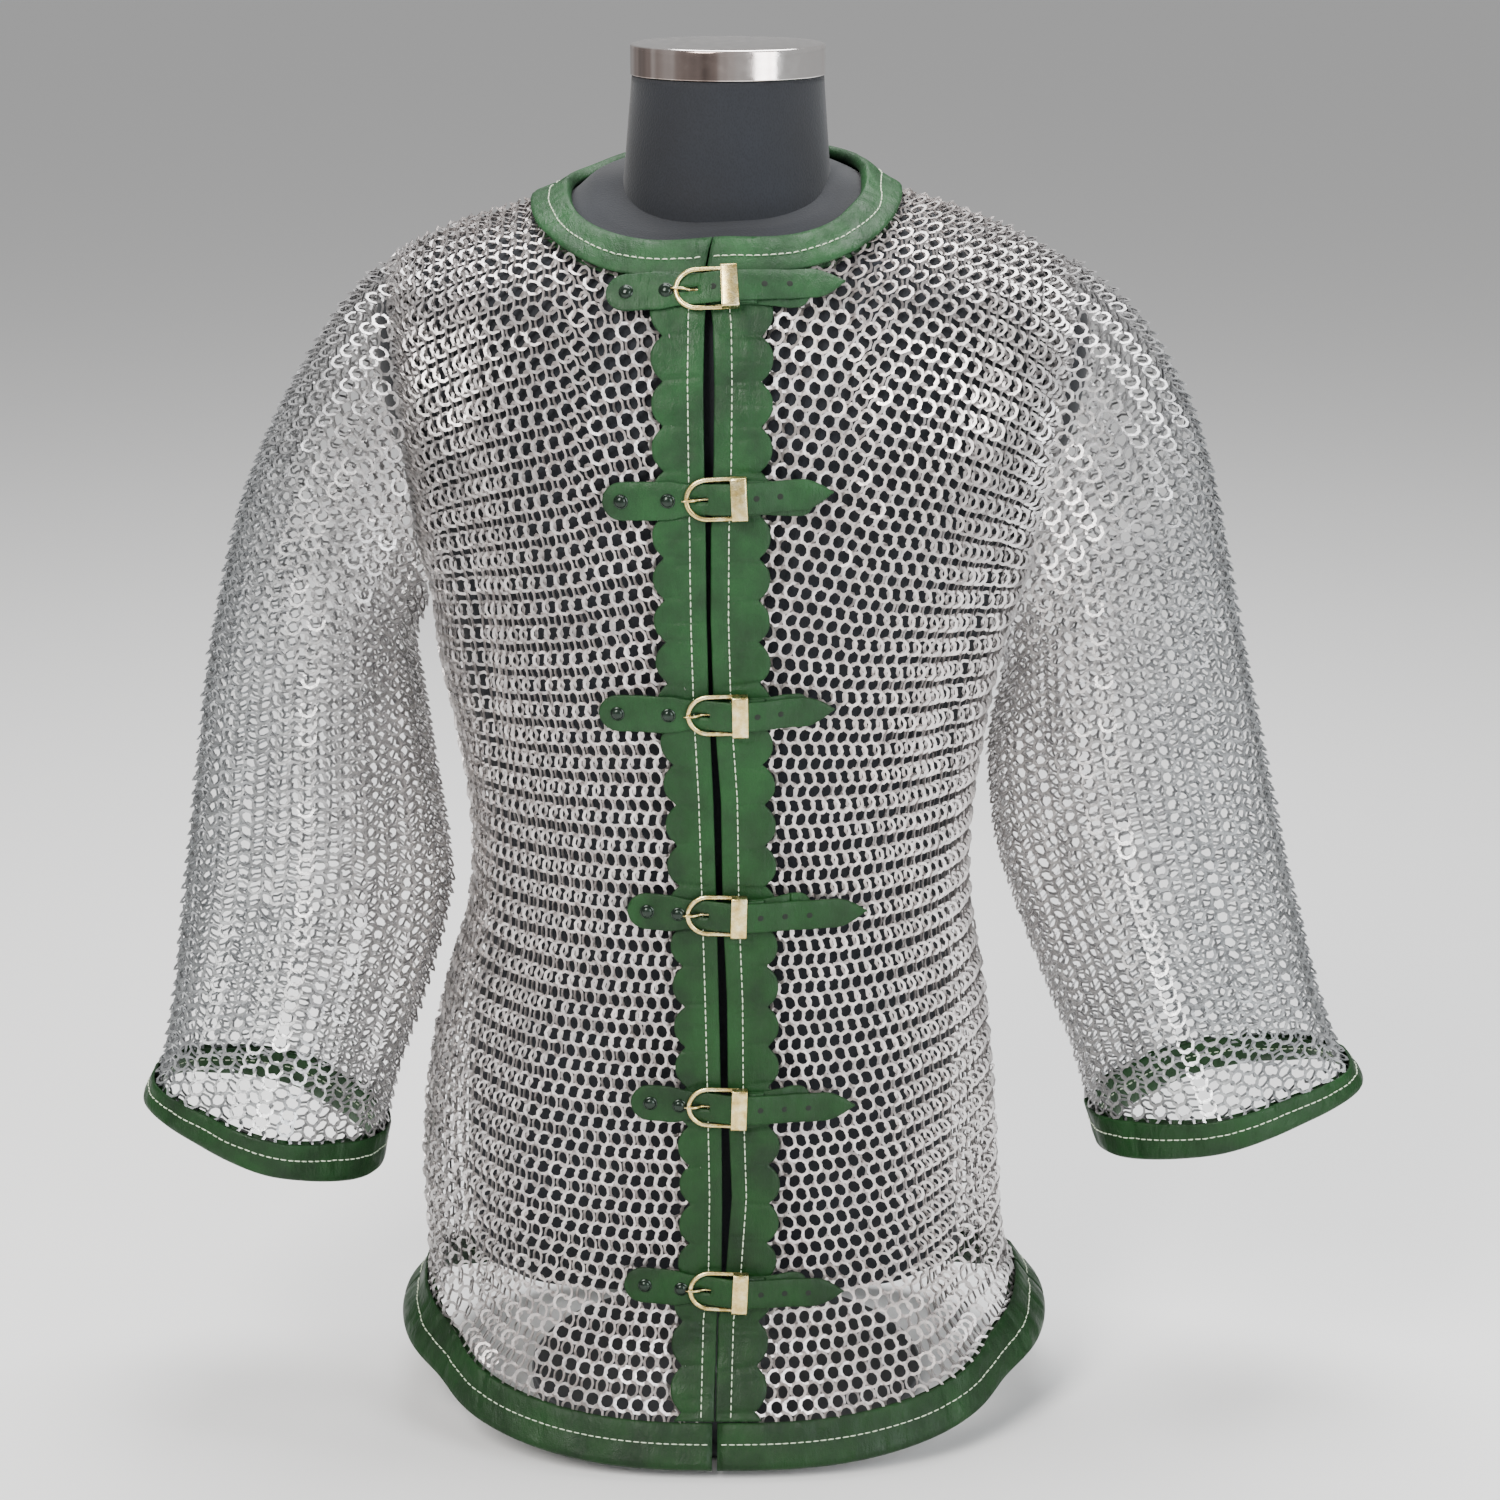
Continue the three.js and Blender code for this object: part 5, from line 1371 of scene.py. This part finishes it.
def buckle(row, number):
    """The wire frame with its keeper plate, and the prong."""
    place = strap_place(row)
    side = BUCKLE_HALF - WIRE
    turn = np.linspace(0.25, 0.75, 21) * TURN
    round_end = np.stack([-8 + 13.2 * np.cos(turn), side * np.sin(turn)], axis=-1)
    route = np.concatenate([
        [(BAR, side - 1), (BAR - 0.4, side - 0.3), (BAR - 1, side), (2, side)],
        round_end,
        [(2, -side), (BAR - 1, -side), (BAR - 0.4, 0.3 - side), (BAR, 1 - side)],
    ])
    bend = circle(10)
    out = 1.55 * np.cos(bend)
    lift = WIRE_LEVEL + 1.15 * np.sin(bend)
    sections = []
    for i in range(len(route)):
        run = unit(route[(i + 1) % len(route)] - route[i - 1])
        sections.append(place(route[i, 0] + run[1] * out, route[i, 1] - run[0] * out, lift))
    wire = closed_body(sections, closed=True)
    points, faces, _ = join_parts([wire, keeper_plate(place)])
    obj = add_mesh(f"buckle_brass_{number}", points, faces, [BRASS])
    settle(obj, "brass", f"buckle_{number}")
    bend = circle(8)
    sections = [place(a + 0 * bend, size * np.cos(bend), h + size * np.sin(bend)) for a, h, size in PRONG]
    points, faces = closed_body(sections)
    obj = add_mesh(f"prong_brass_{number}", points, faces, [BRASS])
    settle(obj, "brass", f"prong_{number}")


def keeper_plate(place):
    """A channel over the strap: points and faces, with its open ends closed by fans."""
    half, corner = BUCKLE_HALF, PLATE_CORNER
    shoulder = PLATE_BASE + PLATE_THICK - corner
    turn = np.linspace(0.3, math.pi / 2, 5)
    left = np.stack([-half + corner - corner * np.cos(turn), shoulder + corner * np.sin(turn)], axis=-1)
    turn = np.linspace(0, math.pi / 2 - 0.3, 5)
    right = np.stack([half - corner + corner * np.sin(turn), shoulder + corner * np.cos(turn)], axis=-1)
    inner = half - PLATE_THICK
    arch = np.concatenate([
        [(-half, PLATE_FOOT), (-half, shoulder)],
        left,
        right,
        [(half, shoulder), (half, PLATE_FOOT), (inner, PLATE_FOOT), (inner, PLATE_BASE)],
        [(-inner, PLATE_BASE), (-inner, PLATE_FOOT)],
    ])
    sections = []
    for along, shrink in PLATE_EDGES:
        level = np.where(arch[:, 1] > PLATE_BASE + 0.2, arch[:, 1] - shrink, arch[:, 1])
        sections.append(place(BAR + along, arch[:, 0], level))
    count = len(arch)
    last_outer = count - 5
    inner_foot, inner_top, far_top, far_foot = (count - k for k in (1, 2, 3, 4))
    middle = (last_outer + 1) // 2
    fan = [(i, i + 1, inner_top if i < middle else far_top) for i in range(last_outer)]
    fan += [(0, inner_top, inner_foot), (middle, far_top, inner_top), (last_outer, far_foot, far_top)]
    fan = np.array(fan)
    end_fan = fan[:, ::-1] + (len(sections) - 1) * count
    points = np.concatenate(sections)
    return points, turned_out(points, [grid_quads(len(sections), count, wrap_columns=True), fan, end_fan])


def rivet(row, number, along, end):
    place = strap_place(row)
    near = np.array([along - 4.5, along + 4.5])
    base = float(strap_lift(row, near).max()) + STRAP["thick"] + GAP
    turn = circle(24)
    sections = [place(along + r * np.cos(turn), r * np.sin(turn), base + h + 0 * turn) for r, h in RIVET]
    points, faces = closed_body(sections)
    obj = add_mesh(f"rivet_dome_{number}_{end}", points, faces, [DARK])
    settle(obj, "rivet", f"rivet_{number}_{end}")


for number, row in enumerate(STRAPS, 1):
    strap_right(row, number)
    strap_left(row, number)
    buckle(row, number)
    rivet(row, number, row[8], "outer")
    rivet(row, number, row[9], "inner")


# The dress form, its cap and its stand


FORM_SHOULDER = 788
FORM_INSET = -7.3
NECK_INSET = -16
NECK_SIDES = 96


def dress_form():
    angle = circle(112)
    sections = []
    for z in np.linspace(FORM_BOTTOM, FORM_SHOULDER, 62):
        ease = smooth_read(FORM_EASE[:, 0], FORM_EASE[:, 1], z)
        sections.append(torso_at(angle, z, np.full(len(angle), -ease)))
    sections[0][:, 2] = FORM_BOTTOM
    top = neckline_height(angle, NECK_INSET, NECK_INSET)
    for share in np.linspace(0, 1, 26)[1:]:
        z = FORM_SHOULDER + (top - FORM_SHOULDER) * share
        sections.append(torso_at(angle, z, np.full(len(angle), FORM_INSET)))
    body = closed_body(sections)
    turn = circle(NECK_SIDES)
    keys, radii, xs, ys = zip(*NECK)
    neck = []
    for z in np.linspace(800, NECK_TOP - 0.3, 30):
        r, x, y = (smooth_read(keys, values, z) for values in (radii, xs, ys))
        neck.append(np.stack([x + r * np.cos(turn), y + r * np.sin(turn), np.full(NECK_SIDES, z)], axis=-1))
    points, faces, _ = join_parts([body, closed_body(neck)])
    obj = add_mesh("form_jersey_torso", points, faces, [JERSEY])
    settle(obj, "form_cloth", "form_torso")


def lathe(name, profile, centre, material, slot, node, segments=128):
    """A turned body on an upright axis, from (radius, height) pairs."""
    turn = circle(segments)
    x, y, base = centre
    sections = [
        np.stack([x + r * np.cos(turn), y + r * np.sin(turn), base + z + 0 * turn], axis=-1)
        for r, z in profile
    ]
    points, faces = closed_body(sections)
    settle(add_mesh(name, points, faces, [material]), slot, node)


def bevel(radius, z, size, start, end, steps=4):
    """A rounded corner of a turned profile."""
    turn = np.linspace(start, end, steps)
    return [(radius - size + size * math.cos(t), z + size * math.sin(t)) for t in turn]


dress_form()
lathe("cap_chrome", [(CAP_RADIUS - 2, 0), (CAP_RADIUS, 0.4), (CAP_RADIUS, 1)]
      + [(CAP_RADIUS, z) for z in (5, 10, 15)]
      + bevel(CAP_RADIUS, CAP_HEIGHT - 2, 2, 0, math.pi / 2, 6)
      + [(CAP_RADIUS - 10, CAP_HEIGHT + 0.6), (CAP_RADIUS - 30, CAP_HEIGHT + 1.2), (2, CAP_HEIGHT + 1.5)],
      (2.6, 0, NECK_TOP), CHROME, "chrome", "form_neck_cap", 160)
lathe("stand_turned", [(4, 0), (138.5, 0), (140, 1), (140, 7)] + bevel(140, 7, 3, 0, math.pi / 2, 5)
      + [(60, 10), (34, 10), (31, 11.5), (29, 14), (28, 18), (28, FORM_BOTTOM - 12), (30, FORM_BOTTOM - 9),
         (58, FORM_BOTTOM - 0.3), (4, FORM_BOTTOM - 0.3)],
      (0, 0, 0), STAND, "stand_paint", "stand")


# The floor, the light and the camera


def stage():
    material, _, _, shader = new_material("pale_floor")
    shader.inputs["Base Color"].default_value = (0.9, 0.9, 0.9, 1)
    shader.inputs["Roughness"].default_value = 0.9
    size, level = 60000, -0.5
    corners = [(-size, -size, level), (size, -size, level), (size, size, level), (-size, size, level)]
    floor = add_mesh("floor", corners, np.array([[0, 1, 2, 3]]), [material])


def area_light(name, place, target, size, power, colour=(1, 1, 1)):
    data = bpy.data.lights.new(name, "AREA")
    data.shape = "RECTANGLE"
    data.size, data.size_y = size
    data.energy = power
    data.color = colour
    light = bpy.data.objects.new(name, data)
    bpy.context.scene.collection.objects.link(light)
    light.location = place
    light.rotation_mode = "QUATERNION"
    light.rotation_quaternion = (Vector(target) - Vector(place)).to_track_quat("-Z", "Y")


def world():
    scene_world = bpy.data.worlds.new("studio")
    bpy.context.scene.world = scene_world
    scene_world.use_nodes = True
    background = scene_world.node_tree.nodes["Background"]
    background.inputs["Color"].default_value = (1, 1, 1, 1)
    background.inputs["Strength"].default_value = 0.42


stage()
world()
area_light("key", (-1.3, -2.2, 2.4), (0, 0, 0.55), (1.1, 1.6), 125, (1, 0.97, 0.93))
area_light("fill", (1.9, -1.9, 1.3), (0, 0, 0.5), (1.3, 1.7), 62, (0.95, 0.98, 1))
area_light("top", (0.2, 0.6, 2.8), (0, 0, 0.6), (2.2, 1.4), 110)

camera_data = bpy.data.cameras.new("camera")
camera_data.sensor_width = 36
camera_data.lens = 86.8
camera = bpy.data.objects.new("camera", camera_data)
bpy.context.scene.collection.objects.link(camera)
camera.location = (0.017, -2.4, 1.1208)
camera.rotation_euler = (math.radians(74.7), 0, 0)
bpy.context.scene.camera = camera
